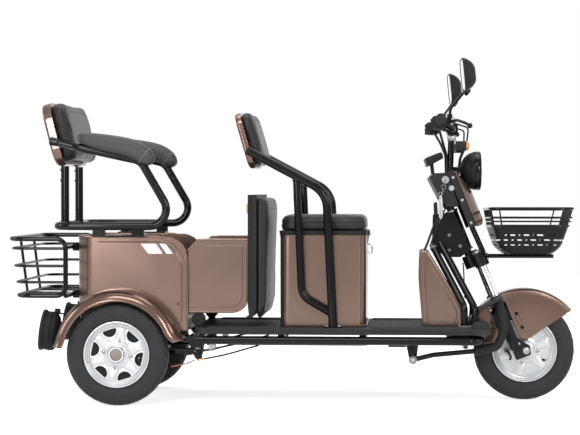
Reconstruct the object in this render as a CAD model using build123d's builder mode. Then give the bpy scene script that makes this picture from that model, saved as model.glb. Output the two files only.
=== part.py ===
"""Electric tricycle with a driver's seat, a flip-forward passenger bench and two baskets.

Millimetres. +X points forward, +Y to the vehicle's left, +Z up. The origin is on the ground under the
middle of the vehicle's length. The steering is modelled straight ahead and turned at the end by REST_TURN.
"""
import os
from math import cos, radians, sin

from build123d import *

os.makedirs("parts", exist_ok=True)

# ---------------------------------------------------------------- driving dimensions
WHEELBASE = 1450.0
REAR_AXLE_X = -618.0
FRONT_AXLE_X = REAR_AXLE_X + WHEELBASE
TYRE_R = 183.0
TYRE_W = 78.0
TYRE_BORE_R = TYRE_R - 79.0
RIM_FLANGE_R = TYRE_R - 65.0
RIM_HALF_W = 33.0
REAR_TRACK = 568.0
AXLE_Z = TYRE_R

FIT_GAP = 0.3
RUN_GAP = 6.0

# Steering
RAKE = 21.8
STEER_X, STEER_Z = FRONT_AXLE_X - 229.0, 600.0
REST_TURN = 3.0
LEG_AHEAD, LEG_SIDE = 27.0, 72.0
STANCHION_R, SLIDER_R = 13.0, 19.0
HEAD_TUBE_R, HEAD_TUBE_BORE_R = 21.0, 15.5
STEERER_R = 14.5

# Floor
RAIL_R = 15.0
RAIL_Y, RAIL_Z = 245.0, 231.0
FLOOR_T = 21.0
FLOOR_BOTTOM = RAIL_Z + RAIL_R + 7.0
FLOOR_TOP = FLOOR_BOTTOM + FLOOR_T
FLOOR_HALF_W = 258.0
FLOOR_REAR_X, FLOOR_FRONT_X = -352.0, STEER_X + 103.0

# Driver seat box
SEAT_BOX_X0, SEAT_BOX_X1 = -50.0, 261.0
SEAT_BOX_HALF_W = 165.0
SEAT_BOX_TOP = 604.0
SEAT_BOX_R = 34.0
SEAT_WALL = 4.0
LID_T = 14.0
CUSHION_T = 56.0

# Driver arm frame and backrest
ARM_Y, ARM_R = 194.0, 15.5
BACK_RECLINE = 16.0

# Rear box
BOX_X0, BOX_X1 = -777.0, -376.0
BOX_HALF_W = 232.0
BOX_BOTTOM, BOX_TOP = 262.0, 598.0
BOX_WALL = 6.0
BOX_FLOOR_Z = 316.0
BOX_CORNER_R = 78.0

# Bench
PIVOT_X, PIVOT_Z = -405.0, 362.0
BENCH_HALF_W = BOX_HALF_W - BOX_WALL - RUN_GAP
BENCH_WALL = 6.0
BENCH_FRONT_X = -160.0
BENCH_FLOOR_Z = 337.0
BENCH_TOP_Z = 590.0
BENCH_NOSE_R = 62.0
PAD_HALF_W = 230.0

# Rear fender
FENDER_R, FENDER_LIP = TYRE_R + 46.0, 38.0
FENDER_OUT_Y = 336.0

# Front fender
FRONT_FENDER_R = TYRE_R + 42.0
FRONT_FENDER_HALF_W = LEG_SIDE - SLIDER_R - FIT_GAP
SHEET = 3.0

# Armrest frame and rear backrest
REST_Y, REST_R = 300.0, 14.5
REST_Z = 637.0
REAR_BACK_HALF_W = 238.0
REAR_RECLINE = 14.0
POST_Y, POST_R = 135.0, 15.0
SHELL_EDGE_R = 9.0
PAD_LAP = 2.0

# Rear basket
RACK_REAR_X = -(FRONT_AXLE_X + TYRE_R)
RACK_FRONT_X = -795.0
RACK_HALF_W = 300.0
RACK_TOP, RACK_BOTTOM = 591.0, 389.0
RACK_R, WIRE_R = 8.5, 5.0

# Front basket
BASKET_HALF_W = 165.0
BASKET_TOP = 700.0


def shape_out(part, name):
    """Label a finished piece and write it as its own file."""
    part.label = name
    export_step(part, f"parts/{name}.step")


def steered(part, name):
    """Turn a steered piece to its rest angle about the steering axis and write it."""
    axis = Axis((STEER_X, 0, STEER_Z), (-sin(radians(RAKE)), 0, cos(radians(RAKE))))
    shape_out(part.rotate(axis, REST_TURN), name)


def ahead(points):
    """Move points of the front end, whose X counts from the steering axis at STEER_Z, to their place."""
    return [(STEER_X + x, *rest) for x, *rest in points]


def steer_xz(across, up):
    """World X and Z of a point given along and across the steering axis."""
    rake = radians(RAKE)
    return (
        STEER_X + across * cos(rake) - up * sin(rake),
        STEER_Z + across * sin(rake) + up * cos(rake),
    )


def steer_point(across, up, y=0.0):
    """World point given along and across the steering axis."""
    x, z = steer_xz(across, up)
    return (x, y, z)


def steer_plane(up):
    """Plane across the steering axis, X ahead, at a height along the axis."""
    x, z = steer_xz(0, up)
    rake = radians(RAKE)
    return Plane(origin=(x, 0, z), x_dir=(cos(rake), 0, sin(rake)), z_dir=(-sin(rake), 0, cos(rake)))


def pipe(points, bend, radius, mode=Mode.ADD):
    """Sweep a round bar along straight runs joined by arcs, into the current part."""
    with BuildLine() as path:
        if len(points) > 2:
            FilletPolyline(*points, radius=bend)
        else:
            Line(*points)
    with BuildSketch(Plane(origin=path.line @ 0, z_dir=path.line % 0)) as section:
        Circle(radius)
    sweep(section.sketch, path=path.line, mode=mode)


def plate_xz(points, y0, y1, corner=0.0, mode=Mode.ADD, wide_at=None, wide_r=0.0):
    """Extrude an outline drawn in X and Z from y0 to y1; the corner at wide_at has its own radius."""
    with BuildSketch(Plane(origin=(0, y0, 0), x_dir=(1, 0, 0), z_dir=(0, -1, 0))) as outline:
        with BuildLine():
            Polyline(*points, close=True)
        make_face()
        small = outline.vertices()
        if wide_at:
            wide = small.sort_by_distance((*wide_at, 0))[0]
            fillet(wide, wide_r)
            small = small.sort_by_distance((*wide_at, 0))[1:]
        if corner:
            fillet(small, corner)
    extrude(outline.sketch, amount=-(y1 - y0), mode=mode)


# ---------------------------------------------------------------- wheels
def wheel_plane(x, y):
    """Plane whose X is the wheel's radius and Y the wheel's axis."""
    return Plane(origin=(x, y, AXLE_Z), x_dir=(1, 0, 0), z_dir=(0, 0, 1))


def make_tyre(x, y):
    """A tyre of the wheel's section, standing on the ground."""
    with BuildPart() as tyre:
        with BuildSketch(wheel_plane(x, y)):
            with BuildLine():
                bead = RIM_HALF_W - 4.0 - FIT_GAP
                side = TYRE_W / 2
                shoulder = TYRE_R - 12.0
                bulge = RIM_FLANGE_R + 28.0
                Line((TYRE_BORE_R, -bead), (TYRE_BORE_R, bead))
                Line((TYRE_BORE_R, bead), (RIM_FLANGE_R + 2, bead))
                ThreePointArc((RIM_FLANGE_R + 2, bead), (bulge, side), (shoulder, side - 5))
                ThreePointArc((shoulder, side - 5), (TYRE_R, 0), (shoulder, 5 - side))
                ThreePointArc((shoulder, 5 - side), (bulge, -side), (RIM_FLANGE_R + 2, -bead))
                Line((RIM_FLANGE_R + 2, -bead), (TYRE_BORE_R, -bead))
            make_face()
        revolve(axis=Axis((x, y, AXLE_Z), (0, 1, 0)))
    return tyre.part


with BuildSketch() as rim_window:
    with BuildLine():
        chord_x, chord_y = RIM_FLANGE_R - 30.0, 0.21 * RIM_FLANGE_R
        ThreePointArc((chord_x, -chord_y), (chord_x - 23, 0), (chord_x, chord_y))
        ThreePointArc((chord_x, chord_y), (chord_x + 3.5, 0), (chord_x, -chord_y))
    make_face()


def make_rim(x, y, out, bore_r, hub_r, hub_in, hub_out):
    """An alloy rim; out is +1 or -1, the side its face looks to."""
    barrel_r = TYRE_BORE_R - FIT_GAP
    face = (RIM_HALF_W - 16.0) * out
    with BuildPart() as rim:
        with BuildSketch(wheel_plane(x, y)):
            with BuildLine():
                Polyline(
                    (barrel_r - 7, -RIM_HALF_W),
                    (RIM_FLANGE_R, -RIM_HALF_W),
                    (RIM_FLANGE_R, 4 - RIM_HALF_W),
                    (barrel_r, 4 - RIM_HALF_W),
                    (barrel_r, RIM_HALF_W - 4),
                    (RIM_FLANGE_R, RIM_HALF_W - 4),
                    (RIM_FLANGE_R, RIM_HALF_W),
                    (barrel_r - 7, RIM_HALF_W),
                    close=True,
                )
            make_face()
        revolve(axis=Axis((x, y, AXLE_Z), (0, 1, 0)))
        with BuildSketch(wheel_plane(x, y)):
            with BuildLine():
                Polyline(
                    (bore_r, -hub_in * out),
                    (hub_r, -hub_in * out),
                    (hub_r, face - 10 * out),
                    (barrel_r - 5, face - 6 * out),
                    (barrel_r - 5, face + 2 * out),
                    (hub_r, face + 2 * out),
                    (hub_r, hub_out * out),
                    (bore_r, hub_out * out),
                    close=True,
                )
            make_face()
        revolve(axis=Axis((x, y, AXLE_Z), (0, 1, 0)))
        windows = Plane(origin=(x, y, AXLE_Z), x_dir=(1, 0, 0), z_dir=(0, out, 0))
        with BuildSketch(windows):
            with PolarLocations(0, 6, start_angle=-12):
                add(rim_window.sketch)
        extrude(amount=RIM_HALF_W, mode=Mode.SUBTRACT)
    return rim.part


STUB_R = 11.0
REAR_HUB_IN, REAR_HUB_OUT = 26.0, 26.0
for side_name, side in (("right", -1), ("left", 1)):
    wheel_y = side * REAR_TRACK / 2
    shape_out(make_tyre(REAR_AXLE_X, wheel_y), f"rear_tyre_{side_name}")
    rim = make_rim(REAR_AXLE_X, wheel_y, side, STUB_R + FIT_GAP, 27.0, REAR_HUB_IN, REAR_HUB_OUT)
    shape_out(rim, f"rear_rim_{side_name}")

FRONT_HUB_HALF = 46.0
AXLE_R = 7.0
steered(make_tyre(FRONT_AXLE_X, 0), "front_tyre")
steered(make_rim(FRONT_AXLE_X, 0, -1, AXLE_R + FIT_GAP, 30.0, FRONT_HUB_HALF, FRONT_HUB_HALF), "front_rim")

# ---------------------------------------------------------------- fork and front axle
YOKE_UP0, YOKE_UP1 = -125.0, -78.0
SLIDER_TOP = -250.0
STEERER_TOP = 150.0
AXLE_DX, AXLE_DZ = FRONT_AXLE_X - STEER_X, AXLE_Z - STEER_Z
AXLE_AHEAD = AXLE_DX * cos(radians(RAKE)) + AXLE_DZ * sin(radians(RAKE))
AXLE_UP = AXLE_DZ * cos(radians(RAKE)) - AXLE_DX * sin(radians(RAKE))
SLIDER_END = AXLE_UP + 20.0
FORK_END_IN, FORK_END_OUT = FRONT_HUB_HALF + 1.0, LEG_SIDE + 8.0
with BuildPart() as fork:
    with BuildSketch(steer_plane(YOKE_UP0)) as yoke:
        with Locations((LEG_AHEAD, LEG_SIDE), (LEG_AHEAD, -LEG_SIDE)):
            Circle(25)
        Circle(28)
        with BuildLine():
            Polyline((8, -LEG_SIDE), (44, -LEG_SIDE), (44, LEG_SIDE), (8, LEG_SIDE), close=True)
        make_face()
    extrude(amount=YOKE_UP1 - YOKE_UP0)
    with BuildSketch(steer_plane(YOKE_UP1)):
        Circle(STEERER_R)
    extrude(amount=STEERER_TOP - YOKE_UP1)
    with BuildSketch(steer_plane(SLIDER_TOP - 30)):
        with Locations((LEG_AHEAD, LEG_SIDE), (LEG_AHEAD, -LEG_SIDE)):
            Circle(STANCHION_R)
    extrude(amount=YOKE_UP0 - SLIDER_TOP + 40)
    with BuildSketch(steer_plane(SLIDER_END)):
        with Locations((LEG_AHEAD, LEG_SIDE), (LEG_AHEAD, -LEG_SIDE)):
            Circle(SLIDER_R)
    extrude(amount=SLIDER_TOP - SLIDER_END)
    end_sides = ((-45, 57), (-12, 57), (20, 10), (12, -20), (-45, -20))
    end_outline = [steer_xz(AXLE_AHEAD + a, AXLE_UP + u) for a, u in end_sides]
    plate_xz(end_outline, FORK_END_IN, FORK_END_OUT, 6)
    plate_xz(end_outline, -FORK_END_OUT, -FORK_END_IN, 6)
    with BuildSketch(Plane(origin=(FRONT_AXLE_X, 100, AXLE_Z), z_dir=(0, -1, 0))):
        Circle(AXLE_R + FIT_GAP)
    extrude(amount=200, mode=Mode.SUBTRACT)
steered(fork.part, "fork")

with BuildPart() as front_axle:
    with BuildSketch(Plane(origin=(FRONT_AXLE_X, 92, AXLE_Z), z_dir=(0, -1, 0))):
        Circle(AXLE_R)
    extrude(amount=184)
    for end_y in (FORK_END_OUT + FIT_GAP, -FORK_END_OUT - FIT_GAP - 8):
        with BuildSketch(Plane(origin=(FRONT_AXLE_X, end_y, AXLE_Z), z_dir=(0, 1, 0))):
            RegularPolygon(13, 6)
        extrude(amount=8)
steered(front_axle.part, "front_axle")

# ---------------------------------------------------------------- front fender
def around_front_axle(radius, angle):
    """World X and Z of a point about the front axle, the angle counted up from straight ahead."""
    return (FRONT_AXLE_X + radius * cos(radians(angle)), AXLE_Z + radius * sin(radians(angle)))


SKIRT_R = FRONT_FENDER_R - 28.0
FRONT_SKIRT = [(-23, 51), (8, 37), (144, 128)]
REAR_SKIRT = [(-168, 23), (-131, 23), (-104, 31), (-90, 54), (-128, 147)]
with BuildPart() as front_fender:
    with BuildSketch(wheel_plane(FRONT_AXLE_X, 0)):
        with BuildLine():
            r_out, half = FRONT_FENDER_R, FRONT_FENDER_HALF_W
            Line((r_out - 34, half), (r_out - 12, half))
            ThreePointArc((r_out - 12, half), (r_out - 3, half - 10), (r_out, half - 26))
            Line((r_out, half - 26), (r_out, 26 - half))
            ThreePointArc((r_out, 26 - half), (r_out - 3, 10 - half), (r_out - 12, -half))
            Line((r_out - 12, -half), (r_out - 34, -half))
            Line((r_out - 34, -half), (r_out - 34, SHEET - half))
            Line((r_out - 34, SHEET - half), (r_out - 13, SHEET - half))
            ThreePointArc((r_out - 13, SHEET - half), (r_out - 5, 13 - half), (r_out - SHEET, 27 - half))
            Line((r_out - SHEET, 27 - half), (r_out - SHEET, half - 27))
            ThreePointArc((r_out - SHEET, half - 27), (r_out - 5, half - 13), (r_out - 13, half - SHEET))
            Line((r_out - 13, half - SHEET), (r_out - 34, half - SHEET))
            Line((r_out - 34, half - SHEET), (r_out - 34, half))
        make_face()
    revolve(axis=Axis((FRONT_AXLE_X, 0, AXLE_Z), (0, -1, 0)), revolution_arc=138)
    front_fender.part = front_fender.part.rotate(Axis((FRONT_AXLE_X, 0, AXLE_Z), (0, -1, 0)), 41)
    for tip, arc in ((FRONT_SKIRT, range(45, 112, 6)), (REAR_SKIRT, range(131, 176, 6))):
        skirt = [(FRONT_AXLE_X + x, AXLE_Z + z) for x, z in tip]
        skirt += [around_front_axle(SKIRT_R, angle) for angle in arc]
        plate_xz(skirt, -FRONT_FENDER_HALF_W, SHEET - FRONT_FENDER_HALF_W)
        plate_xz(skirt, FRONT_FENDER_HALF_W - SHEET, FRONT_FENDER_HALF_W)
steered(front_fender.part, "front_fender")


# ---------------------------------------------------------------- handlebar and what it carries
BAR_Z, BAR_CLAMP_X = 985.0, STEER_X - 33.0
STEM_X, STEM_R = STEER_X - 34.0, 12.0
COLLAR_R, COLLAR_UP0 = 23.0, 112.0
COWL_HALF_W, COWL_WALL = 88.0, 3.0
DASH_HALF_W = COWL_HALF_W - COWL_WALL - FIT_GAP
DASH_IN_Y = DASH_HALF_W - COWL_WALL - FIT_GAP
LAMP_X, LAMP_Z, LAMP_R = STEER_X + 61.0, 835.0, 70.0
GRIP_X, GRIP_Z, GRIP_END_Y = STEER_X - 94.0, 1006.0, 330.0
BAR_R, GRIP_R = 11.0, 16.0
BAR_SWEEP, BAR_BEND_Y = 12.0, 122.0
GRIP_L = 118.0

with BuildPart() as handlebar:
    with BuildSketch(steer_plane(COLLAR_UP0)):
        Circle(COLLAR_R)
        Circle(STEERER_R + FIT_GAP, mode=Mode.SUBTRACT)
    extrude(amount=STEERER_TOP + FIT_GAP - COLLAR_UP0)
    with BuildSketch(steer_plane(STEERER_TOP + FIT_GAP)):
        Circle(COLLAR_R)
    extrude(amount=14)
    pipe([steer_point(0, STEERER_TOP + 8), (STEM_X - 8, 0, 805), (STEM_X, 0, BAR_Z - 8)], 40, STEM_R)
    pipe([(STEM_X - 3, 0, LAMP_Z + 6), (LAMP_X - 64 - FIT_GAP, 0, LAMP_Z + 6)], 0, 9)
    for side in (-1, 1):
        pipe([(STEM_X - 1, 0, 905), (STEM_X + 24, side * 88.9, 921)], 0, 6)
    tie = [steer_xz(a, u) for a, u in ((18, 178), (38, 178), (38, 182), (18, 182))]
    plate_xz(tie, -DASH_IN_Y, DASH_IN_Y)
    bar = [
        (GRIP_X, 4 - GRIP_END_Y, GRIP_Z),
        (GRIP_X + BAR_SWEEP, -BAR_BEND_Y, GRIP_Z),
        (BAR_CLAMP_X, -60, BAR_Z),
        (BAR_CLAMP_X, 60, BAR_Z),
        (GRIP_X + BAR_SWEEP, BAR_BEND_Y, GRIP_Z),
        (GRIP_X, GRIP_END_Y - 4, GRIP_Z),
    ]
    pipe(bar, 30, BAR_R)
    with BuildSketch(Plane(origin=(BAR_CLAMP_X, 26, BAR_Z), z_dir=(0, -1, 0))):
        RectangleRounded(40, 40, 8)
    extrude(amount=52)
steered(handlebar.part, "handlebar")


def bar_plane(y):
    """Plane across the handlebar's right grip stretch, facing outward, X ahead."""
    slope = BAR_SWEEP / (GRIP_END_Y - 4 - BAR_BEND_Y)
    x = GRIP_X + (GRIP_END_Y - 4 - y) * slope
    return Plane(origin=(x, -y, GRIP_Z), x_dir=(1, -slope, 0), z_dir=(-slope, -1, 0))


with BuildPart() as grips:
    with BuildSketch(bar_plane(GRIP_END_Y - GRIP_L)):
        Circle(GRIP_R)
        Circle(BAR_R + FIT_GAP, mode=Mode.SUBTRACT)
    extrude(amount=GRIP_L - 4)
    with BuildSketch(bar_plane(GRIP_END_Y - 4 + FIT_GAP)):
        Circle(GRIP_R + 2)
    extrude(amount=5)
    with BuildSketch(bar_plane(GRIP_END_Y - 10)):
        Circle(GRIP_R + 2)
        Circle(BAR_R + FIT_GAP, mode=Mode.SUBTRACT)
    extrude(amount=8)
    mirror(about=Plane.XZ)
steered(grips.part, "grips")

SWITCH_W = 42.0
with BuildPart() as switch_boxes:
    with BuildSketch(bar_plane(GRIP_END_Y - GRIP_L - SWITCH_W - FIT_GAP)):
        with Locations((-8, -6)):
            RectangleRounded(50, 48, 14)
        Circle(BAR_R + FIT_GAP, mode=Mode.SUBTRACT)
    extrude(amount=SWITCH_W)
    mirror(about=Plane.XZ)
steered(switch_boxes.part, "switch_boxes")

LEVER_Y = GRIP_END_Y - GRIP_L - SWITCH_W - 14
PERCH_HALF_W = 10.0
with BuildPart() as brake_levers:
    with BuildSketch(bar_plane(LEVER_Y - PERCH_HALF_W)):
        Circle(17)
        with Locations((20, 2)):
            RectangleRounded(36, 22, 6)
        Circle(BAR_R + FIT_GAP, mode=Mode.SUBTRACT)
    extrude(amount=2 * PERCH_HALF_W)
    lever = [
        (GRIP_X + 46, -LEVER_Y, GRIP_Z + 1),
        (GRIP_X + 66, -LEVER_Y - 42, GRIP_Z + 3),
        (GRIP_X + 88, -LEVER_Y - 110, GRIP_Z - 10),
        (GRIP_X + 102, -LEVER_Y - 146, GRIP_Z - 22),
    ]
    pipe(lever, 30, 5.5)
    with Locations(lever[-1]):
        Sphere(9.5)
    mirror(about=Plane.XZ)
steered(brake_levers.part, "brake_levers")

WIRE_LOOM_R, BRAKE_LINE_R = 4.5, 3.0
BOX_IN_Y = GRIP_END_Y - GRIP_L - SWITCH_W - 5 * FIT_GAP
LINE_START_Y = LEVER_Y - PERCH_HALF_W + 3 * FIT_GAP
with BuildPart() as handlebar_cables:
    loom = ahead([
        (-91, -BOX_IN_Y, 981),
        (-87, -128, 976),
        (-71, -62, 938),
        (-55, -22, 892),
        (-53, -20, 800),
    ])
    pipe(loom, 30, WIRE_LOOM_R)
    brake_line = ahead([
        (-56, -LINE_START_Y, 1008),
        (-54, -124, 1009),
        (19, -98, 988),
        (15, -62, 925),
        (-3, -32, 880),
        (-12, -27, 810),
    ])
    pipe(brake_line, 18, BRAKE_LINE_R)
    mirror(about=Plane.XZ)
steered(handlebar_cables.part, "handlebar_cables")

MIRROR_X, MIRROR_Z, MIRROR_Y = STEER_X + 1.0, 1158.0, 322.0
MIRROR_H, MIRROR_W, MIRROR_T = 116.0, 150.0, 40.0
MIRROR_STEM_R = 5.0
mirror_stem = [
    (GRIP_X + 42, -LEVER_Y, GRIP_Z + 13 + FIT_GAP),
    (GRIP_X + 44, -LEVER_Y - 4, GRIP_Z + 46),
    (MIRROR_X - 4, -MIRROR_Y + 30, MIRROR_Z - MIRROR_H / 2 + 12),
]
with BuildPart() as mirror_stems:
    with BuildSketch(Plane(origin=mirror_stem[0])):
        RegularPolygon(10, 6)
    extrude(amount=14)
    pipe([(GRIP_X + 42, -LEVER_Y, GRIP_Z + 20), mirror_stem[1], mirror_stem[2]], 20, MIRROR_STEM_R)
    mirror(about=Plane.XZ)
steered(mirror_stems.part, "mirror_stems")

with BuildPart() as mirrors:
    glass_at = (MIRROR_X - MIRROR_T / 2 + 3, -MIRROR_Y, MIRROR_Z)
    glass = Plane(origin=glass_at, x_dir=(0, 1, 0), z_dir=(1, 0, 0.1))
    with BuildSketch(glass):
        RectangleRounded(MIRROR_W, MIRROR_H, 34)
    with BuildSketch(glass.offset(MIRROR_T * 0.55)):
        RectangleRounded(MIRROR_W - 24, MIRROR_H - 22, 28)
    with BuildSketch(glass.offset(MIRROR_T)):
        RectangleRounded(MIRROR_W - 84, MIRROR_H - 68, 14)
    loft()
    with BuildLine() as socket:
        Line(*mirror_stem[1:])
    pipe([socket.line @ 0, socket.line @ 1.02], 0, MIRROR_STEM_R + FIT_GAP, mode=Mode.SUBTRACT)
    mirror(about=Plane.XZ)
steered(mirrors.part, "mirrors")

with BuildPart() as headlight:
    with BuildSketch(Plane(origin=(0, 0, LAMP_Z), x_dir=(1, 0, 0), z_dir=(0, -1, 0))):
        with BuildLine():
            well_x, well_r = LAMP_X - 6, LAMP_R - 6
            Polyline((well_x, 0), (well_x, well_r), (LAMP_X + 6, well_r), (LAMP_X + 6, LAMP_R))
            Line((LAMP_X + 6, LAMP_R), (LAMP_X - 10, LAMP_R))
            ThreePointArc((LAMP_X - 10, LAMP_R), (LAMP_X - 48, LAMP_R * 0.72), (LAMP_X - 64, 18))
            Line((LAMP_X - 64, 18), (LAMP_X - 64, 0))
            Line((LAMP_X - 64, 0), (well_x, 0))
        make_face()
    revolve(axis=Axis((0, 0, LAMP_Z), (1, 0, 0)))
steered(headlight.part, "headlight")

with BuildPart() as headlight_lens:
    with BuildSketch(Plane(origin=(LAMP_X - 6 + FIT_GAP, 0, LAMP_Z), z_dir=(1, 0, 0))):
        Circle(LAMP_R - 6 - FIT_GAP)
    extrude(amount=11)
    fillet(headlight_lens.faces().sort_by(Axis.X)[-1].edges(), 5)
steered(headlight_lens.part, "headlight_lens")

with BuildPart() as turn_signals:
    for side in (-1, 1):
        with BuildSketch(Plane(origin=(STEM_X + 6, side * 108, 922), z_dir=(1, 0, 0))):
            RectangleRounded(34, 34, 12)
        extrude(amount=38)
steered(turn_signals.part, "turn_signals")

# ---------------------------------------------------------------- cowl, dash panel and display
COWL_NOSE = 96.0
COWL_SEAM = 56.0
SHELL_BACK = 33.0


with BuildPart() as cowl_cover:
    side_view = [(COWL_SEAM, 10), (COWL_SEAM, 226), (82, 224), (102, 190), (102, 38), (84, 10)]
    plate_xz([steer_xz(a, u) for a, u in side_view], -COWL_HALF_W - 5, COWL_HALF_W + 5, 7)
    with BuildSketch(steer_plane(0)) as plan:
        half = COWL_HALF_W
        with BuildLine():
            Line((COWL_SEAM - 5, -half), (COWL_SEAM, -half))
            ThreePointArc((COWL_SEAM, -half), (COWL_NOSE, 0), (COWL_SEAM, half))
            Line((COWL_SEAM, half), (COWL_SEAM - 5, half))
            Line((COWL_SEAM - 5, half), (COWL_SEAM - 5, -half))
        make_face()
    extrude(amount=240, mode=Mode.INTERSECT)
    with BuildSketch(steer_plane(-5)):
        half = COWL_HALF_W - COWL_WALL
        nose = COWL_NOSE - COWL_WALL
        with BuildLine():
            Line((COWL_SEAM - 5, -half), (COWL_SEAM, -half))
            ThreePointArc((COWL_SEAM, -half), (nose, 0), (COWL_SEAM, half))
            Line((COWL_SEAM, half), (COWL_SEAM - 5, half))
            Line((COWL_SEAM - 5, half), (COWL_SEAM - 5, -half))
        make_face()
    extrude(amount=226 - COWL_WALL + 5 - 2, mode=Mode.SUBTRACT)
    with BuildSketch(Plane(origin=(LAMP_X - 115, 0, LAMP_Z), z_dir=(1, 0, 0))):
        Circle(LAMP_R + 5)
    extrude(amount=165, mode=Mode.SUBTRACT)
steered(cowl_cover.part, "cowl_cover")

with BuildPart() as cowl_shell:
    with BuildSketch(steer_plane(14)):
        with Locations(((SHELL_BACK + COWL_SEAM - FIT_GAP) / 2, 0)):
            Rectangle(COWL_SEAM - FIT_GAP - SHELL_BACK, 2 * COWL_HALF_W)
    extrude(amount=220)
    with BuildSketch(steer_plane(10)):
        with Locations(((SHELL_BACK + COWL_SEAM) / 2, 0)):
            Rectangle(COWL_SEAM - SHELL_BACK + 10, 2 * (COWL_HALF_W - COWL_WALL))
    extrude(amount=224 - COWL_WALL, mode=Mode.SUBTRACT)
    with BuildSketch(Plane(origin=(LAMP_X - 90, 0, LAMP_Z), z_dir=(1, 0, 0))):
        Circle(LAMP_R + 5)
    extrude(amount=140, mode=Mode.SUBTRACT)
    with BuildSketch(steer_plane(200)):
        with Locations((52, 0)):
            RectangleRounded(44, 68, 8)
    extrude(amount=60, mode=Mode.SUBTRACT)
steered(cowl_shell.part, "cowl_shell")

DASH = ahead([(-120, 807), (-106, 824), (-58, 826), (-47, 812), (-41, 780), (-13, 702)])
DASH += ahead([(-58, 704), (-80, 730)])
with BuildPart() as dash_panel:
    plate_xz(DASH, -DASH_HALF_W, DASH_HALF_W, 6)
    inner = ahead([(-116, 805), (-104, 820), (-43, 822), (-28, 780), (-3, 690), (-55, 690), (-76, 731)])
    plate_xz(inner, COWL_WALL - DASH_HALF_W, DASH_HALF_W - COWL_WALL, 4, mode=Mode.SUBTRACT)
    with BuildSketch(Plane(origin=(STEM_X - 18, 0, 680))):
        RectangleRounded(68, 60, 10)
    extrude(amount=200, mode=Mode.SUBTRACT)
steered(dash_panel.part, "dash_panel")

with BuildPart() as ignition_lock:
    with BuildSketch(Plane(origin=(STEER_X - 63, -DASH_HALF_W - FIT_GAP, 800), z_dir=(0, -1, 0))):
        Circle(13)
    extrude(amount=9)
    with BuildSketch(Plane(origin=(STEER_X - 41, -COWL_HALF_W - FIT_GAP, 770), z_dir=(0, -1, 0))):
        Circle(10)
    extrude(amount=5)
steered(ignition_lock.part, "ignition_lock")

DISPLAY = ahead([(-135, 878), (-74, 902), (-67, 880), (-125, 848)])
with BuildPart() as display:
    plate_xz(DISPLAY, -56, 56, 4)
    for side in (-1, 1):
        pipe(ahead([(-108, side * 28, 864), (-103, side * 28, 824 + FIT_GAP)]), 0, 5)
steered(display.part, "display")

# ---------------------------------------------------------------- front basket
BRACKET_R, BRACKET_Y = 7.0, 42.0
BRACKET_Z = 524.0
BASKET_FLOOR_Z = BRACKET_Z + BRACKET_R + FIT_GAP
BASKET_WALL, BASKET_WIRE_R = 3.0, 4.5
TUB_TOP_Z = 636.0
TUB_FLOOR, TUB_DRAFT = (206.0, 252.0), 17.5
with BuildPart() as basket_bracket:
    for side in (-1, 1):
        run = [
            steer_point(54, 140, side * 34),
            (STEER_X + 43, side * BRACKET_Y, 623),
            (STEER_X + 87, side * BRACKET_Y, BRACKET_Z),
            (STEER_X + 331, side * BRACKET_Y, BRACKET_Z),
        ]
        pipe(run, 22, BRACKET_R)
    for x in (STEER_X + 157, STEER_X + 297):
        pipe([(x, -BRACKET_Y, BRACKET_Z), (x, BRACKET_Y, BRACKET_Z)], 0, 5)
    lug_in = COLLAR_R + FIT_GAP
    lug = [steer_xz(a, u) for a, u in ((lug_in, 124), (60, 124), (60, 130), (lug_in, 130))]
    plate_xz(lug, -40, 40)
steered(basket_bracket.part, "basket_bracket")

with BuildPart() as front_basket:
    floor_mid, top_mid = STEER_X + 239, STEER_X + 243
    with BuildSketch(Plane(origin=(floor_mid, 0, BASKET_FLOOR_Z))):
        RectangleRounded(*TUB_FLOOR, 30)
    extrude(amount=TUB_TOP_Z - BASKET_FLOOR_Z, taper=-TUB_DRAFT)
    with BuildSketch(Plane(origin=(floor_mid, 0, BASKET_FLOOR_Z + BASKET_WALL))):
        RectangleRounded(TUB_FLOOR[0] - 2 * BASKET_WALL, TUB_FLOOR[1] - 2 * BASKET_WALL, 27)
    extrude(amount=TUB_TOP_Z - BASKET_FLOOR_Z, taper=-TUB_DRAFT, mode=Mode.SUBTRACT)
    for z, count in ((600, 4), (582, 5), (564, 4)):
        with BuildSketch(Plane(origin=(floor_mid, -200, z), z_dir=(0, -1, 0))):
            with GridLocations(50, 1, count, 1):
                SlotOverall(30, 6)
        extrude(amount=-400, mode=Mode.SUBTRACT)
    rim_x, rim_y = 148.0, BASKET_HALF_W - 5
    corners = [(top_mid + sx * rim_x, sy * rim_y) for sx, sy in ((-1, -1), (1, -1), (1, 1), (-1, 1))]
    for z, grow in ((BASKET_TOP - 4, 0), (664, -3)):
        loop = [(top_mid, -rim_y - grow, z)]
        for x, y in corners[1:]:
            loop.append((x + (grow if x > top_mid else -grow), y + (grow if y > 0 else -grow), z))
        loop += [(corners[0][0] - grow, corners[0][1] - grow, z), (top_mid - 1, -rim_y - grow, z)]
        pipe(loop, 40, BASKET_WIRE_R)
    for sx in (-1, 1):
        for sy in (-1, 1):
            top = (top_mid + sx * (rim_x - 12), sy * (rim_y - 12), BASKET_TOP - 4)
            low = (floor_mid + sx * 92, sy * 116, BASKET_FLOOR_Z + 6)
            pipe([top, low], 0, BASKET_WIRE_R)
steered(front_basket.part, "front_basket")

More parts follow.
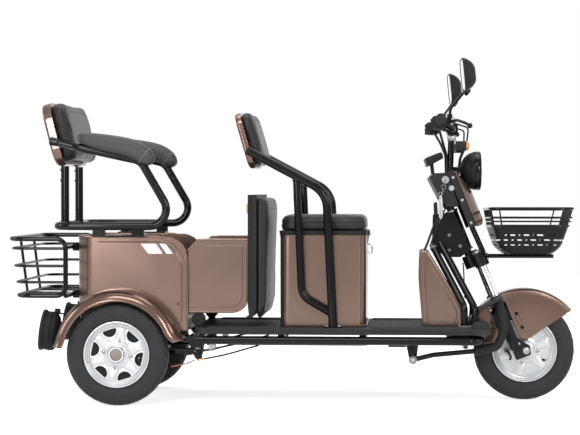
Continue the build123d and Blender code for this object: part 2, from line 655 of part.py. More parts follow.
# ---------------------------------------------------------------- frames
PEDAL_Y = -172.0
PEDAL_PIVOT_X, PEDAL_PIVOT_Z = STEER_X - 175.0, 158.0
RAIL_REAR_X, RAIL_FRONT_X = -345.0, STEER_X + 65.0
NOTCH_Y = 150.0
FRONT_CROSS_X = STEER_X - 43.0
CROSS_R = 12.0
BEARER_Y, BEARER_R = BOX_HALF_W - 52.0, 13.0
BEARER_Z = BOX_FLOOR_Z - 6.0 - FIT_GAP - BEARER_R
SWING_X, SWING_Z, SWING_Y = -341.0, AXLE_Z + 7.0, BEARER_Y + 16.0
SHOCK_HEAD_X, SHOCK_FOOT_X, SHOCK_Y, SHOCK_R = -684.0, -676.0, BEARER_Y - 32.0, 17.0
SHOCK_FOOT_Z = AXLE_Z + 17.0
with BuildPart() as floor_frame:
    rail = [
        (RAIL_REAR_X, -RAIL_Y, RAIL_Z),
        (RAIL_FRONT_X, -RAIL_Y, RAIL_Z),
        (RAIL_FRONT_X, -NOTCH_Y, RAIL_Z),
        (FRONT_CROSS_X, -NOTCH_Y, RAIL_Z),
    ]
    pipe(rail, 45, RAIL_R)
    pipe([(x, -y, z) for x, y, z in rail], 45, RAIL_R)
    for x in (RAIL_REAR_X, -40, 250, FRONT_CROSS_X):
        pipe([(x, -RAIL_Y, RAIL_Z), (x, RAIL_Y, RAIL_Z)], 0, CROSS_R)
    for side in (-1, 1):
        for x in (-40, 250, FRONT_CROSS_X):
            with BuildSketch(Plane(origin=(x, side * 212, RAIL_Z))):
                Rectangle(24, 30)
            extrude(amount=FLOOR_BOTTOM - FIT_GAP - RAIL_Z)
    plate_xz(ahead([(-203, 226), (-153, 226), (-153, 232), (-203, 232)]), -RAIL_Y, PEDAL_Y + 58)
    ear_y = PEDAL_Y + 48 + FIT_GAP
    ear_z = PEDAL_PIVOT_Z - 13
    plate_xz(ahead([(-203, 228), (-153, 228), (-163, ear_z), (-187, ear_z)]), ear_y, ear_y + 6)
shape_out(floor_frame.part, "floor_frame")

TUBE_R = 12.5
DOWN_Y, HEAD_Y = 146.0, 34.0
DOWN_END_Z = RAIL_Z + RAIL_R + 2 * FIT_GAP
with BuildPart() as front_frame:
    with BuildSketch(steer_plane(-58)):
        Circle(HEAD_TUBE_R)
    extrude(amount=155)
    gusset = ahead([(-103, 676), (-25, 684), (37, 548), (-3, 520), (-58, 520), (-106, 560)])
    plate_xz(gusset, -26, 26, 5)
    for side in (-1, 1):
        inner = ahead([(-99, side * HEAD_Y, 553), (9, side * DOWN_Y, 347), (9, side * DOWN_Y, DOWN_END_Z)])
        outer = ahead([(-77, side * HEAD_Y, 573), (50, side * DOWN_Y, 335), (42, side * DOWN_Y, DOWN_END_Z)])
        pipe(inner, 60, TUBE_R)
        pipe(outer, 60, TUBE_R)
    with BuildSketch(steer_plane(-70)):
        Circle(HEAD_TUBE_BORE_R)
    extrude(amount=180, mode=Mode.SUBTRACT)
shape_out(front_frame.part, "front_frame")

with BuildPart() as rear_subframe:
    for side in (-1, 1):
        bearer = [
            (RAIL_REAR_X - CROSS_R - FIT_GAP, side * BEARER_Y, RAIL_Z),
            (-400, side * BEARER_Y, RAIL_Z),
            (-436, side * BEARER_Y, BEARER_Z),
            (BOX_X0 + 17, side * BEARER_Y, BEARER_Z),
        ]
        pipe(bearer, 18, BEARER_R)
        under = RAIL_Z - CROSS_R - 2 * FIT_GAP
        ear = [(-382, RAIL_Z), (-364, RAIL_Z), (-360, under), (-318, under)]
        ear += [(-326, SWING_Z - 16), (-354, SWING_Z - 16)]
        plate_xz(ear, side * SWING_Y - 17, side * SWING_Y - 12)
        plate_xz(ear, side * SWING_Y + 12, side * SWING_Y + 17)
    for x in (-470, SHOCK_HEAD_X):
        pipe([(x, -BEARER_Y, BEARER_Z), (x, BEARER_Y, BEARER_Z)], 0, CROSS_R)
    pipe([(-372, -BEARER_Y - 34, RAIL_Z), (-372, BEARER_Y + 34, RAIL_Z)], 0, CROSS_R)
shape_out(rear_subframe.part, "rear_subframe")

DRUM_R = 62.0
with BuildPart() as rear_axle:
    axle_plane = Plane(origin=(REAR_AXLE_X, 0, AXLE_Z), z_dir=(0, -1, 0))
    with BuildSketch(axle_plane.offset(-225)):
        Circle(26)
    extrude(amount=450)
    with BuildSketch(axle_plane.offset(-70)):
        Circle(78)
    extrude(amount=110)
    with BuildSketch(axle_plane.offset(40)):
        Circle(66)
    extrude(amount=SHOCK_Y - 68)
    for side in (-1, 1):
        with BuildSketch(axle_plane.offset(side * 214)):
            Circle(DRUM_R)
        extrude(amount=side * 38)
        pad = [(0, 0), (-18, SHOCK_FOOT_Z - AXLE_Z), (-78, SHOCK_FOOT_Z - AXLE_Z), (-78, 7), (-22, -7)]
        pad = [(REAR_AXLE_X + x, AXLE_Z + z) for x, z in pad]
        plate_xz(pad, side * SHOCK_Y - 20, side * SHOCK_Y + 20)
    stub_out = REAR_TRACK / 2 + REAR_HUB_OUT + 14
    with BuildSketch(axle_plane.offset(-stub_out)):
        Circle(STUB_R)
    extrude(amount=2 * stub_out)
    for side in (-1, 1):
        with BuildSketch(axle_plane.offset(side * (stub_out - 13.7))):
            RegularPolygon(17, 6)
        extrude(amount=side * 12)
shape_out(rear_axle.part, "rear_axle")

with BuildPart() as swing_arms:
    for side in (-1, 1):
        y = side * SWING_Y
        with BuildSketch(Plane(origin=(SWING_X, y - 11, SWING_Z), z_dir=(0, 1, 0))):
            Circle(14)
        extrude(amount=22)
        arm = [(-350, SWING_Z - 10), (-350, SWING_Z + 10), (-588, AXLE_Z + 12), (-588, AXLE_Z - 12)]
        plate_xz(arm, y - 9, y + 9)
        with BuildSketch(Plane(origin=(REAR_AXLE_X, y - 9, AXLE_Z), z_dir=(0, 1, 0))):
            Circle(38)
            Circle(26 + FIT_GAP, mode=Mode.SUBTRACT)
        extrude(amount=12)
shape_out(swing_arms.part, "swing_arms")

with BuildPart() as shock_absorbers:
    for side in (-1, 1):
        with BuildSketch(Plane(origin=(SHOCK_FOOT_X, side * SHOCK_Y, SHOCK_FOOT_Z + FIT_GAP))):
            Circle(SHOCK_R)
        extrude(amount=BEARER_Z - CROSS_R - 2 * FIT_GAP - SHOCK_FOOT_Z)
shape_out(shock_absorbers.part, "shock_absorbers")

# ---------------------------------------------------------------- floor and leg shield
FLOOR_NOTCH_L = 114.0
HUMP_Y0, HUMP_Y1 = 172.0, 236.0
with BuildPart() as floorboard:
    with BuildSketch(Plane.XY.offset(FLOOR_BOTTOM)) as board:
        mid_x = (FLOOR_REAR_X + FLOOR_FRONT_X) / 2
        with Locations((mid_x, 0)):
            RectangleRounded(FLOOR_FRONT_X - FLOOR_REAR_X, 2 * FLOOR_HALF_W, 45)
        with Locations((FLOOR_FRONT_X, 0)):
            Rectangle(2 * FLOOR_NOTCH_L, 2 * (DOWN_Y + TUBE_R + 4), mode=Mode.SUBTRACT)
    extrude(amount=FLOOR_T)
    hump = ahead([(29, FLOOR_TOP - 4), (43, 292), (65, 297), (87, 294), (97, 282), (97, FLOOR_TOP - 4)])
    plate_xz(hump, -HUMP_Y1, -HUMP_Y0, 3)
    plate_xz(hump, HUMP_Y0, HUMP_Y1, 3)
shape_out(floorboard.part, "floorboard")

LEG_HALF_W = 124.0
LEG_BOX = ahead([
    (-147, 541),
    (-125, 541),
    (-1, 340),
    (1, 300),
    (-11, FLOOR_TOP + FIT_GAP),
    (-137, FLOOR_TOP + FIT_GAP),
    (-151, 440),
])
with BuildPart() as leg_shield_box:
    plate_xz(LEG_BOX, -LEG_HALF_W, LEG_HALF_W, 10)
    hollow = ahead([(-142, 534), (-128, 534), (-6, 338), (-5, 302), (-15, 250), (-133, 250), (-146, 440)])
    plate_xz(hollow, 4 - LEG_HALF_W, LEG_HALF_W - 4, 0, mode=Mode.SUBTRACT)
shape_out(leg_shield_box.part, "leg_shield_box")

# ---------------------------------------------------------------- driver's seat
seat_mid = (SEAT_BOX_X0 + SEAT_BOX_X1) / 2
seat_l = SEAT_BOX_X1 - SEAT_BOX_X0
with BuildPart() as driver_seat_box:
    with BuildSketch(Plane(origin=(seat_mid, 0, FLOOR_TOP + FIT_GAP))):
        RectangleRounded(seat_l, 2 * SEAT_BOX_HALF_W, SEAT_BOX_R)
    extrude(amount=SEAT_BOX_TOP - FLOOR_TOP - FIT_GAP)
    with BuildSketch(Plane(origin=(seat_mid, 0, FLOOR_TOP + FIT_GAP + SEAT_WALL))):
        RectangleRounded(seat_l - 2 * SEAT_WALL, 2 * (SEAT_BOX_HALF_W - SEAT_WALL), SEAT_BOX_R - SEAT_WALL)
    extrude(amount=SEAT_BOX_TOP, mode=Mode.SUBTRACT)
shape_out(driver_seat_box.part, "driver_seat_box")

with BuildPart() as battery_pack:
    with BuildSketch(Plane(origin=(seat_mid, 0, FLOOR_TOP + SEAT_WALL + 2 * FIT_GAP))):
        Rectangle(280, 300)
    extrude(amount=165)
shape_out(battery_pack.part, "battery_pack")

HINGE_X, HINGE_Z = SEAT_BOX_X1 + 7.0, SEAT_BOX_TOP - 1.0
HINGE_R, HINGE_PIN_R = 4.5, 2.5
HINGE_HALF_W, KNUCKLE_HALF_W = 60.0, 20.0
lid_bottom = SEAT_BOX_TOP + FIT_GAP
with BuildPart() as driver_seat_lid:
    with BuildSketch(Plane(origin=(seat_mid, 0, lid_bottom))):
        RectangleRounded(seat_l + 4, 2 * SEAT_BOX_HALF_W + 4, SEAT_BOX_R)
    extrude(amount=LID_T)
    for side in (-1, 1):
        y0, y1 = side * (KNUCKLE_HALF_W + FIT_GAP), side * HINGE_HALF_W
        with BuildSketch(Plane(origin=(HINGE_X, y0, HINGE_Z), z_dir=(0, side, 0))):
            Circle(HINGE_R)
        extrude(amount=HINGE_HALF_W - KNUCKLE_HALF_W - FIT_GAP)
        leaf = [
            (SEAT_BOX_X1, lid_bottom + 2),
            (HINGE_X, HINGE_Z),
            (HINGE_X + 2, lid_bottom + LID_T - 2),
            (SEAT_BOX_X1, lid_bottom + LID_T - 2),
        ]
        plate_xz(leaf, min(y0, y1), max(y0, y1))
    with BuildSketch(Plane(origin=(HINGE_X, -HINGE_HALF_W, HINGE_Z), z_dir=(0, 1, 0))):
        Circle(HINGE_PIN_R + FIT_GAP)
    extrude(amount=2 * HINGE_HALF_W, mode=Mode.SUBTRACT)
shape_out(driver_seat_lid.part, "driver_seat_lid")

with BuildPart() as seat_lid_hinge:
    with BuildSketch(Plane(origin=(HINGE_X, -KNUCKLE_HALF_W, HINGE_Z), z_dir=(0, 1, 0))):
        Circle(HINGE_R)
    extrude(amount=2 * KNUCKLE_HALF_W)
    with BuildSketch(Plane(origin=(HINGE_X, -HINGE_HALF_W - 2, HINGE_Z), z_dir=(0, 1, 0))):
        Circle(HINGE_PIN_R)
    extrude(amount=2 * HINGE_HALF_W + 4)
    leaf_x = SEAT_BOX_X1 + FIT_GAP
    leaf_foot = HINGE_Z - 34
    fixed_leaf = [(leaf_x, leaf_foot), (leaf_x + 2, leaf_foot), (HINGE_X + 1, HINGE_Z), (leaf_x, HINGE_Z)]
    plate_xz(fixed_leaf, -KNUCKLE_HALF_W, KNUCKLE_HALF_W)
shape_out(seat_lid_hinge.part, "seat_lid_hinge")

with BuildPart() as driver_seat_cushion:
    with BuildSketch(Plane(origin=(seat_mid + 1, 0, lid_bottom + LID_T + FIT_GAP))):
        RectangleRounded(seat_l + 14, 2 * SEAT_BOX_HALF_W + 8, 40)
    extrude(amount=CUSHION_T)
    fillet(driver_seat_cushion.edges().group_by(Axis.Z)[-1], 16)
shape_out(driver_seat_cushion.part, "driver_seat_cushion")

with BuildPart() as driver_arm_frame:
    for side in (-1, 1):
        y = side * ARM_Y
        pipe([(-161, y, 906), (119, y, 757), (143, y, FLOOR_TOP + 2)], 95, ARM_R)
        with BuildSketch(Plane(origin=(143, y, FLOOR_TOP + FIT_GAP))):
            RectangleRounded(64, 44, 8)
        extrude(amount=4)
        pipe([(12, y, 812), (31, y, 386), (136, y, 325)], 60, ARM_R - 2)
shape_out(driver_arm_frame.part, "driver_arm_frame")


def back_panels(foot_x, foot_z, recline, half_w, height, shell_t, pad_t, corner):
    """A backrest's hard shell and cushion, leaning back from its lower rear edge."""
    lean = radians(recline)
    face = Plane(
        origin=(foot_x - height / 2 * sin(lean), 0, foot_z + height / 2 * cos(lean)),
        x_dir=(0, 1, 0),
        z_dir=(cos(lean), 0, sin(lean)),
    )
    facing = Axis(face.origin, face.z_dir)
    with BuildPart() as shell:
        with BuildSketch(face):
            RectangleRounded(2 * half_w, height, corner)
        extrude(amount=shell_t)
        fillet(shell.faces().sort_by(facing)[0].edges(), SHELL_EDGE_R)
    with BuildPart() as pad:
        with BuildSketch(face.offset(shell_t + FIT_GAP)):
            RectangleRounded(2 * half_w, height + 2 * PAD_LAP, corner)
        extrude(amount=pad_t)
        fillet(pad.faces().sort_by(facing)[-1].edges(), pad_t * 0.45)
    return shell.part, pad.part


driver_back_half = ARM_Y - ARM_R - FIT_GAP
shell, pad = back_panels(-160, 840, BACK_RECLINE, driver_back_half, 206, 22, 40, 52)
shape_out(shell, "driver_backrest_shell")
shape_out(pad, "driver_backrest_cushion")

# ---------------------------------------------------------------- rear box and fenders
PIN_R = 7.0
with BuildPart() as rear_box:
    side_view = [(BOX_X0, BOX_BOTTOM), (BOX_X0, BOX_TOP), (BOX_X1, BOX_TOP), (BOX_X1, BOX_BOTTOM)]
    with BuildSketch(Plane(origin=(0, -BOX_HALF_W, 0), x_dir=(1, 0, 0), z_dir=(0, -1, 0))) as view:
        with BuildLine():
            Polyline(*side_view, close=True)
        make_face()
        fillet(view.vertices().sort_by_distance((BOX_X1, BOX_TOP, 0))[0], BOX_CORNER_R)
    extrude(amount=-2 * BOX_HALF_W)
    fillet(rear_box.edges().filter_by(Axis.Z).group_by(Axis.X)[0], 60)
    for z0, z1, x1 in ((BOX_FLOOR_Z, 700, BOX_X1 + 50), (200, BOX_FLOOR_Z - 6, BOX_X1 - BOX_WALL)):
        with BuildSketch(Plane.XY.offset(z0)) as pocket:
            x0 = BOX_X0 + BOX_WALL
            with Locations(((x0 + x1) / 2, 0)):
                Rectangle(x1 - x0, 2 * (BOX_HALF_W - BOX_WALL))
            fillet(pocket.vertices().sort_by(Axis.X)[:2], 60 - BOX_WALL)
        extrude(amount=z1 - z0, mode=Mode.SUBTRACT)
    with BuildSketch(Plane(origin=(PIVOT_X, BOX_HALF_W + 5, PIVOT_Z), z_dir=(0, -1, 0))):
        Circle(PIN_R + FIT_GAP)
    extrude(amount=2 * BOX_HALF_W + 10, mode=Mode.SUBTRACT)
shape_out(rear_box.part, "rear_box")

with BuildPart() as rear_fenders:
    with BuildSketch(Plane(origin=(REAR_AXLE_X, 0, AXLE_Z), x_dir=(1, 0, 0), z_dir=(0, 0, 1))):
        near, far = -BOX_HALF_W - FIT_GAP, -FENDER_OUT_Y
        with BuildLine():
            Polyline(
                (FENDER_R - SHEET, near),
                (FENDER_R, near),
                (FENDER_R, far + 12),
                (FENDER_R - 12, far),
                (FENDER_R - FENDER_LIP, far),
                (FENDER_R - FENDER_LIP, far + SHEET),
                (FENDER_R - 13, far + SHEET),
                (FENDER_R - SHEET, far + SHEET + 10),
                close=True,
            )
        make_face()
    revolve(axis=Axis((REAR_AXLE_X, 0, AXLE_Z), (0, -1, 0)), revolution_arc=160)
    rear_fenders.part = rear_fenders.part.rotate(Axis((REAR_AXLE_X, 0, AXLE_Z), (0, -1, 0)), 13)
    mirror(about=Plane.XZ)
shape_out(rear_fenders.part, "rear_fenders")

# ---------------------------------------------------------------- flip-forward bench
with BuildPart() as bench_tub:
    tub = [
        (BENCH_FRONT_X, BENCH_TOP_Z),
        (-342, BENCH_TOP_Z),
        (-377, 552),
        (-377, 386),
        (PIVOT_X - 18, 384),
        (PIVOT_X - 22, PIVOT_Z - 22),
        (-396, BENCH_FLOOR_Z - 10),
        (BENCH_FRONT_X, BENCH_FLOOR_Z - 10),
    ]
    plate_xz(tub, -BENCH_HALF_W, BENCH_HALF_W, 8, wide_at=tub[-1], wide_r=BENCH_NOSE_R)
    inside = [
        (BENCH_FRONT_X - BENCH_WALL, 640),
        (-480, 640),
        (-480, BENCH_FLOOR_Z),
        (BENCH_FRONT_X - BENCH_WALL, BENCH_FLOOR_Z),
    ]
    in_y, nose = BENCH_HALF_W - BENCH_WALL, BENCH_NOSE_R - BENCH_WALL
    plate_xz(inside, -in_y, in_y, mode=Mode.SUBTRACT, wide_at=inside[-1], wide_r=nose)
    with BuildSketch(Plane(origin=(PIVOT_X, BOX_HALF_W + 5, PIVOT_Z), z_dir=(0, -1, 0))):
        Circle(PIN_R + FIT_GAP)
    extrude(amount=2 * BOX_HALF_W + 10, mode=Mode.SUBTRACT)
shape_out(bench_tub.part, "bench_tub")

with BuildPart() as bench_hinge_pins:
    for side in (-1, 1):
        start = BENCH_HALF_W - BENCH_WALL - 4
        with BuildSketch(Plane(origin=(PIVOT_X, side * start, PIVOT_Z), z_dir=(0, side, 0))):
            Circle(PIN_R)
        extrude(amount=BOX_HALF_W + FIT_GAP + 5 - start)
        pin_at = (PIVOT_X, side * (BOX_HALF_W + FIT_GAP), PIVOT_Z)
        with BuildSketch(Plane(origin=pin_at, z_dir=(0, side, 0))):
            Circle(12)
        extrude(amount=5)
shape_out(bench_hinge_pins.part, "bench_hinge_pins")

with BuildPart() as bench_base_plate:
    base = [
        (BENCH_FRONT_X + FIT_GAP, 748),
        (-129, 748),
        (-129, 340),
        (-142, 312),
        (-170, 304),
        (-170, 310),
        (-156, 318),
        (BENCH_FRONT_X + FIT_GAP, 350),
    ]
    plate_xz(base, 2 - PAD_HALF_W, PAD_HALF_W - 2, 2)
    x = BENCH_FRONT_X + 4
    pipe([(x, 0, 680), (x - 26, 0, 680), (x - 26, 0, 714), (x, 0, 714)], 7, 3.5)
shape_out(bench_base_plate.part, "bench_base_plate")

with BuildPart() as bench_cushion:
    with BuildSketch(Plane(origin=(-129 + FIT_GAP, 0, 521), x_dir=(0, 1, 0), z_dir=(1, 0, 0))):
        RectangleRounded(2 * PAD_HALF_W, 450, 40)
    extrude(amount=42)
    fillet(bench_cushion.faces().sort_by(Axis.X)[-1].edges(), 16)
shape_out(bench_cushion.part, "bench_cushion")

REST_X, REST_DISC_R = -338.0, 24.0
with BuildPart() as bench_rest:
    for side in (-1, 1):
        disc_y = side * (BENCH_HALF_W - 30)
        disc_z = BENCH_FLOOR_Z - 10 - FIT_GAP - REST_DISC_R
        with BuildSketch(Plane(origin=(REST_X, disc_y, disc_z), z_dir=(0, side, 0))):
            Circle(REST_DISC_R)
        extrude(amount=34)
        foot_z = FLOOR_TOP + FIT_GAP
        foot = [(REST_X - 12, 300), (REST_X + 12, 300), (REST_X + 12, foot_z), (REST_X - 12, foot_z)]
        plate_xz(foot, side * (BENCH_HALF_W - 13) - 15, side * (BENCH_HALF_W - 13) + 15)
shape_out(bench_rest.part, "bench_rest")


# ---------------------------------------------------------------- armrest frame and rear backrest
CROSS_REAR_X = -836.0
CORNER_LOW, CORNER_HIGH = (-398.0, 637.0), (-533.0, 868.0)
ARM_TURN_X, ARM_TURN_Z = -760.0, 917.0
REAR_BACK_X, REAR_BACK_Z = -853.0, 850.0
REAR_BACK_SHELL_T, REAR_BACK_PAD_T = 33.0, 50.0
ARM_END_X, ARM_END_Z = -861.0, 939.0
STRIP_X, STRIP_L, STRIP_T = -612.0, 184.0, 7.0
rear_seat_in = REAR_BACK_HALF_W + REST_R + FIT_GAP
with BuildPart() as armrest_frame:
    for side in (-1, 1):
        y = side * REST_Y
        run = [
            (CROSS_REAR_X, 0, REST_Z),
            (CROSS_REAR_X, y, REST_Z),
            (CORNER_LOW[0], y, CORNER_LOW[1]),
            (CORNER_HIGH[0], y, CORNER_HIGH[1]),
            (ARM_TURN_X, y, ARM_TURN_Z),
            (ARM_END_X + 30, side * rear_seat_in, ARM_END_Z - 6),
            (ARM_END_X, side * rear_seat_in, ARM_END_Z),
        ]
        with BuildLine() as path:
            FilletPolyline(*run, radius=[50, 60, 50, 40, 25])
        with BuildSketch(Plane(origin=path.line @ 0, z_dir=path.line % 0)) as section:
            Circle(REST_R)
        sweep(section.sketch, path=path.line)
    for side in (-1, 1):
        post_top = (CROSS_REAR_X, side * POST_Y, REAR_BACK_Z + 2)
        pipe([(CROSS_REAR_X, side * POST_Y, REST_Z), post_top], 0, POST_R)
    for side in (-1, 1):
        y0, y1 = side * (BOX_HALF_W - BOX_WALL), side * (REST_Y + 10)
        z0 = BOX_TOP + FIT_GAP
        with BuildSketch(Plane(origin=(STRIP_X, (y0 + y1) / 2, z0))):
            Rectangle(STRIP_L, abs(y1 - y0))
        extrude(amount=STRIP_T)
        with BuildSketch(Plane(origin=(STRIP_X, side * REST_Y, z0))):
            with GridLocations(STRIP_L - 44, 1, 2, 1):
                Rectangle(44, 16)
        extrude(amount=REST_Z - REST_R + 2 - z0)
shape_out(armrest_frame.part, "armrest_frame")

ARM_PAD_HALF_W = 27.0
with BuildPart() as armrest_pads:
    pad_line = [
        (-757, 938),
        (-752, 966),
        (-632, 957),
        (-549, 943),
        (-505, 911),
        (-488, 866),
        (-512, 862),
        (-549, 873),
        (-680, 899),
    ]
    for side in (-1, 1):
        y = side * REST_Y
        plate_xz(pad_line, y - ARM_PAD_HALF_W, y + ARM_PAD_HALF_W, 8)
        tube_line = [
            (CORNER_LOW[0], y, CORNER_LOW[1]),
            (CORNER_HIGH[0], y, CORNER_HIGH[1]),
            (ARM_TURN_X, y, ARM_TURN_Z),
            (ARM_END_X + 30, side * rear_seat_in, ARM_END_Z - 6),
        ]
        pipe(tube_line, [50, 40], REST_R + FIT_GAP, mode=Mode.SUBTRACT)
shape_out(armrest_pads.part, "armrest_pads")

shell, pad = back_panels(
    REAR_BACK_X,
    REAR_BACK_Z + FIT_GAP,
    REAR_RECLINE,
    REAR_BACK_HALF_W,
    228,
    REAR_BACK_SHELL_T,
    REAR_BACK_PAD_T,
    62,
)
shape_out(shell, "rear_backrest_shell")
shape_out(pad, "rear_backrest_cushion")

# ---------------------------------------------------------------- rear basket and tail lamps
with BuildPart() as rear_basket:
    top_y = RACK_HALF_W - RACK_R
    rear_top = RACK_REAR_X + RACK_R
    rear_low = rear_top + 26
    front = RACK_FRONT_X - RACK_R
    for side in (-1, 1):
        loop = [
            (rear_top, 0, RACK_TOP),
            (rear_top, side * top_y, RACK_TOP),
            (front, side * top_y, RACK_TOP),
            (front, side * top_y, RACK_BOTTOM),
            (rear_low, side * top_y, RACK_BOTTOM),
            (rear_low, 0, RACK_BOTTOM),
        ]
        with BuildLine() as path:
            FilletPolyline(*loop, radius=[52, 34, 34, 52])
        with BuildSketch(Plane(origin=path.line @ 0, z_dir=path.line % 0)) as section:
            Circle(RACK_R)
        sweep(section.sketch, path=path.line)
    for rail_z in (557, 495, 437):
        back = rear_top + 26 * (RACK_TOP - rail_z) / (RACK_TOP - RACK_BOTTOM)
        rail = [(front, -top_y, rail_z), (back, -top_y, rail_z)]
        rail += [(back, top_y, rail_z), (front, top_y, rail_z)]
        pipe(rail, 50, WIRE_R)
    for y in (-110, 110):
        pipe([(rear_top, y, RACK_TOP), (rear_low, y, RACK_BOTTOM)], 0, WIRE_R)
        pipe([(rear_low, y, RACK_BOTTOM), (front, y, RACK_BOTTOM)], 0, WIRE_R)
    for z in (RACK_BOTTOM, 560):
        pipe([(front, -top_y, z), (front, top_y, z)], 0, RACK_R)
    for z in (RACK_BOTTOM, 560):
        for y in (82 - BOX_HALF_W, BOX_HALF_W - 82):
            with BuildSketch(Plane(origin=(front, y, z), z_dir=(1, 0, 0))):
                Rectangle(30, 14)
            extrude(amount=BOX_X0 - FIT_GAP - front)
shape_out(rear_basket.part, "rear_basket")

LAMP_TAIL_X, LAMP_TAIL_Z, LAMP_TAIL_Y = -866.0, 256.0, BOX_HALF_W - 22.0
LAMP_TILT = radians(8)
lamp_plane = Plane(
    origin=(LAMP_TAIL_X, -LAMP_TAIL_Y, LAMP_TAIL_Z),
    x_dir=(0, 1, 0),
    z_dir=(-cos(LAMP_TILT), 0, sin(LAMP_TILT)),
)
with BuildPart() as tail_lights:
    with BuildSketch(lamp_plane):
        Ellipse(44, 70)
    extrude(amount=30)
    with BuildSketch(lamp_plane.offset(30)):
        Ellipse(48, 74)
    extrude(amount=10)
    with BuildSketch(lamp_plane.offset(34)):
        Ellipse(43, 69)
    extrude(amount=10, mode=Mode.SUBTRACT)
    wall_x = BOX_X0 - FIT_GAP
    bracket = [(wall_x, 336), (wall_x, 296), (-852, 262), (-868, 262), (-868, 276), (-850, 282)]
    plate_xz(bracket, -LAMP_TAIL_Y + 36, -LAMP_TAIL_Y + 41)
    mirror(about=Plane.XZ)
shape_out(tail_lights.part, "tail_lights")

with BuildPart() as tail_light_lenses:
    with BuildSketch(lamp_plane.offset(34 + FIT_GAP)):
        Ellipse(43 - FIT_GAP, 69 - FIT_GAP)
    extrude(amount=9)
    mirror(about=Plane.XZ)
shape_out(tail_light_lenses.part, "tail_light_lenses")

# ---------------------------------------------------------------- brake pedal and brake cables
PEDAL_ARM_R, PEDAL_SLEEVE_R, PEDAL_HUB_R = 9.0, 15.0, 13.0
CABLE_R, CABLE_Y = 3.5, 226.0
CABLE_Z = RAIL_Z - CROSS_R - FIT_GAP - CABLE_R
CABLE_END_R, CABLE_END_X = 8.0, STEER_X - 199.0
CABLE_END_Z = CABLE_Z - CABLE_END_R + CABLE_R
with BuildPart() as brake_pedal:
    arm = [(PEDAL_PIVOT_X, PEDAL_Y, PEDAL_PIVOT_Z)] + ahead([(-103, PEDAL_Y, 176), (61, PEDAL_Y, 192)])
    pipe(arm, 60, PEDAL_ARM_R)
    sleeve = ahead([(52, PEDAL_Y, 191), (125, PEDAL_Y, 206), (149, PEDAL_Y, 264), (130, PEDAL_Y, 372)])
    pipe(sleeve, 34, PEDAL_SLEEVE_R)
    plate_xz(ahead([(65, 336), (141, 380), (137, 388), (60, 343)]), PEDAL_Y - 45, PEDAL_Y + 40, 1)
    with BuildSketch(Plane(origin=(PEDAL_PIVOT_X, PEDAL_Y - 12, PEDAL_PIVOT_Z), z_dir=(0, 1, 0))):
        Circle(PEDAL_HUB_R)
    extrude(amount=60)
    pivot_x = PEDAL_PIVOT_X
    lever = [(pivot_x - 10, PEDAL_PIVOT_Z), (pivot_x + 10, PEDAL_PIVOT_Z), (pivot_x - 6, 218)]
    lever.append((CABLE_END_X + FIT_GAP, 218))
    plate_xz(lever, PEDAL_Y - 4, PEDAL_Y + 4)
shape_out(brake_pedal.part, "brake_pedal")

with BuildPart() as brake_cables:
    with BuildSketch(Plane(origin=(CABLE_END_X, PEDAL_Y, CABLE_END_Z), z_dir=(-1, 0, 0))):
        Circle(CABLE_END_R)
    extrude(amount=64)
    start_x = CABLE_END_X - 62
    turn_x = start_x - 40
    near = [(start_x, PEDAL_Y - 4, CABLE_Z), (turn_x, PEDAL_Y - 4, CABLE_Z), (250, -CABLE_Y, CABLE_Z)]
    far = [(start_x, PEDAL_Y + 4, CABLE_Z), (250, PEDAL_Y + 4, CABLE_Z), (250, CABLE_Y, CABLE_Z)]
    for side, run in ((-1, near), (1, far)):
        run += [
            (-210, side * CABLE_Y, CABLE_Z),
            (-300, side * (CABLE_Y - 3), SWING_Z + 2),
            (-545, side * (CABLE_Y - 3), SWING_Z + 10),
        ]
        pipe(run, 22, CABLE_R)
shape_out(brake_cables.part, "brake_cables")
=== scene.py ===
"""The looks of an electric tricycle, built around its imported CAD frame. Metres, +X forward, +Y left, +Z up."""
import math

import bmesh
import bpy
import numpy as np
from mathutils import Matrix, Vector
from mathutils.bvhtree import BVHTree


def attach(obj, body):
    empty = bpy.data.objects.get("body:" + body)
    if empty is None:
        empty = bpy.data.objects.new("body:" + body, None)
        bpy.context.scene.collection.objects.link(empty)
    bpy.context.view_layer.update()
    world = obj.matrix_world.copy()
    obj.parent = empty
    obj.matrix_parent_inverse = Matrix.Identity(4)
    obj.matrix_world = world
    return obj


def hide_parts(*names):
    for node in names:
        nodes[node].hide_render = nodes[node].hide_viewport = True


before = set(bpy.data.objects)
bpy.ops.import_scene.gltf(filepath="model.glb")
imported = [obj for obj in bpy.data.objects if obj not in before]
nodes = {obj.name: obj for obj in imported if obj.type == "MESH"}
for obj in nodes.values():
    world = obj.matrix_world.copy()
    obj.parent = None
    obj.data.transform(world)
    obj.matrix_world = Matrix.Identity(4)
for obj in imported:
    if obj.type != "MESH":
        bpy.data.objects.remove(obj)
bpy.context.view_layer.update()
RAKE = math.radians(21.8)
UP_FORK = Vector((-math.sin(RAKE), 0, math.cos(RAKE)))
AHEAD_FORK = Vector((math.cos(RAKE), 0, math.sin(RAKE)))
ON_AXIS = Vector((603, 0, 600))
REST_TURN = math.radians(3)
TURN = Matrix.Translation(ON_AXIS * 0.001) @ Matrix.Rotation(REST_TURN, 4, UP_FORK) @ Matrix.Translation(
    ON_AXIS * -0.001)


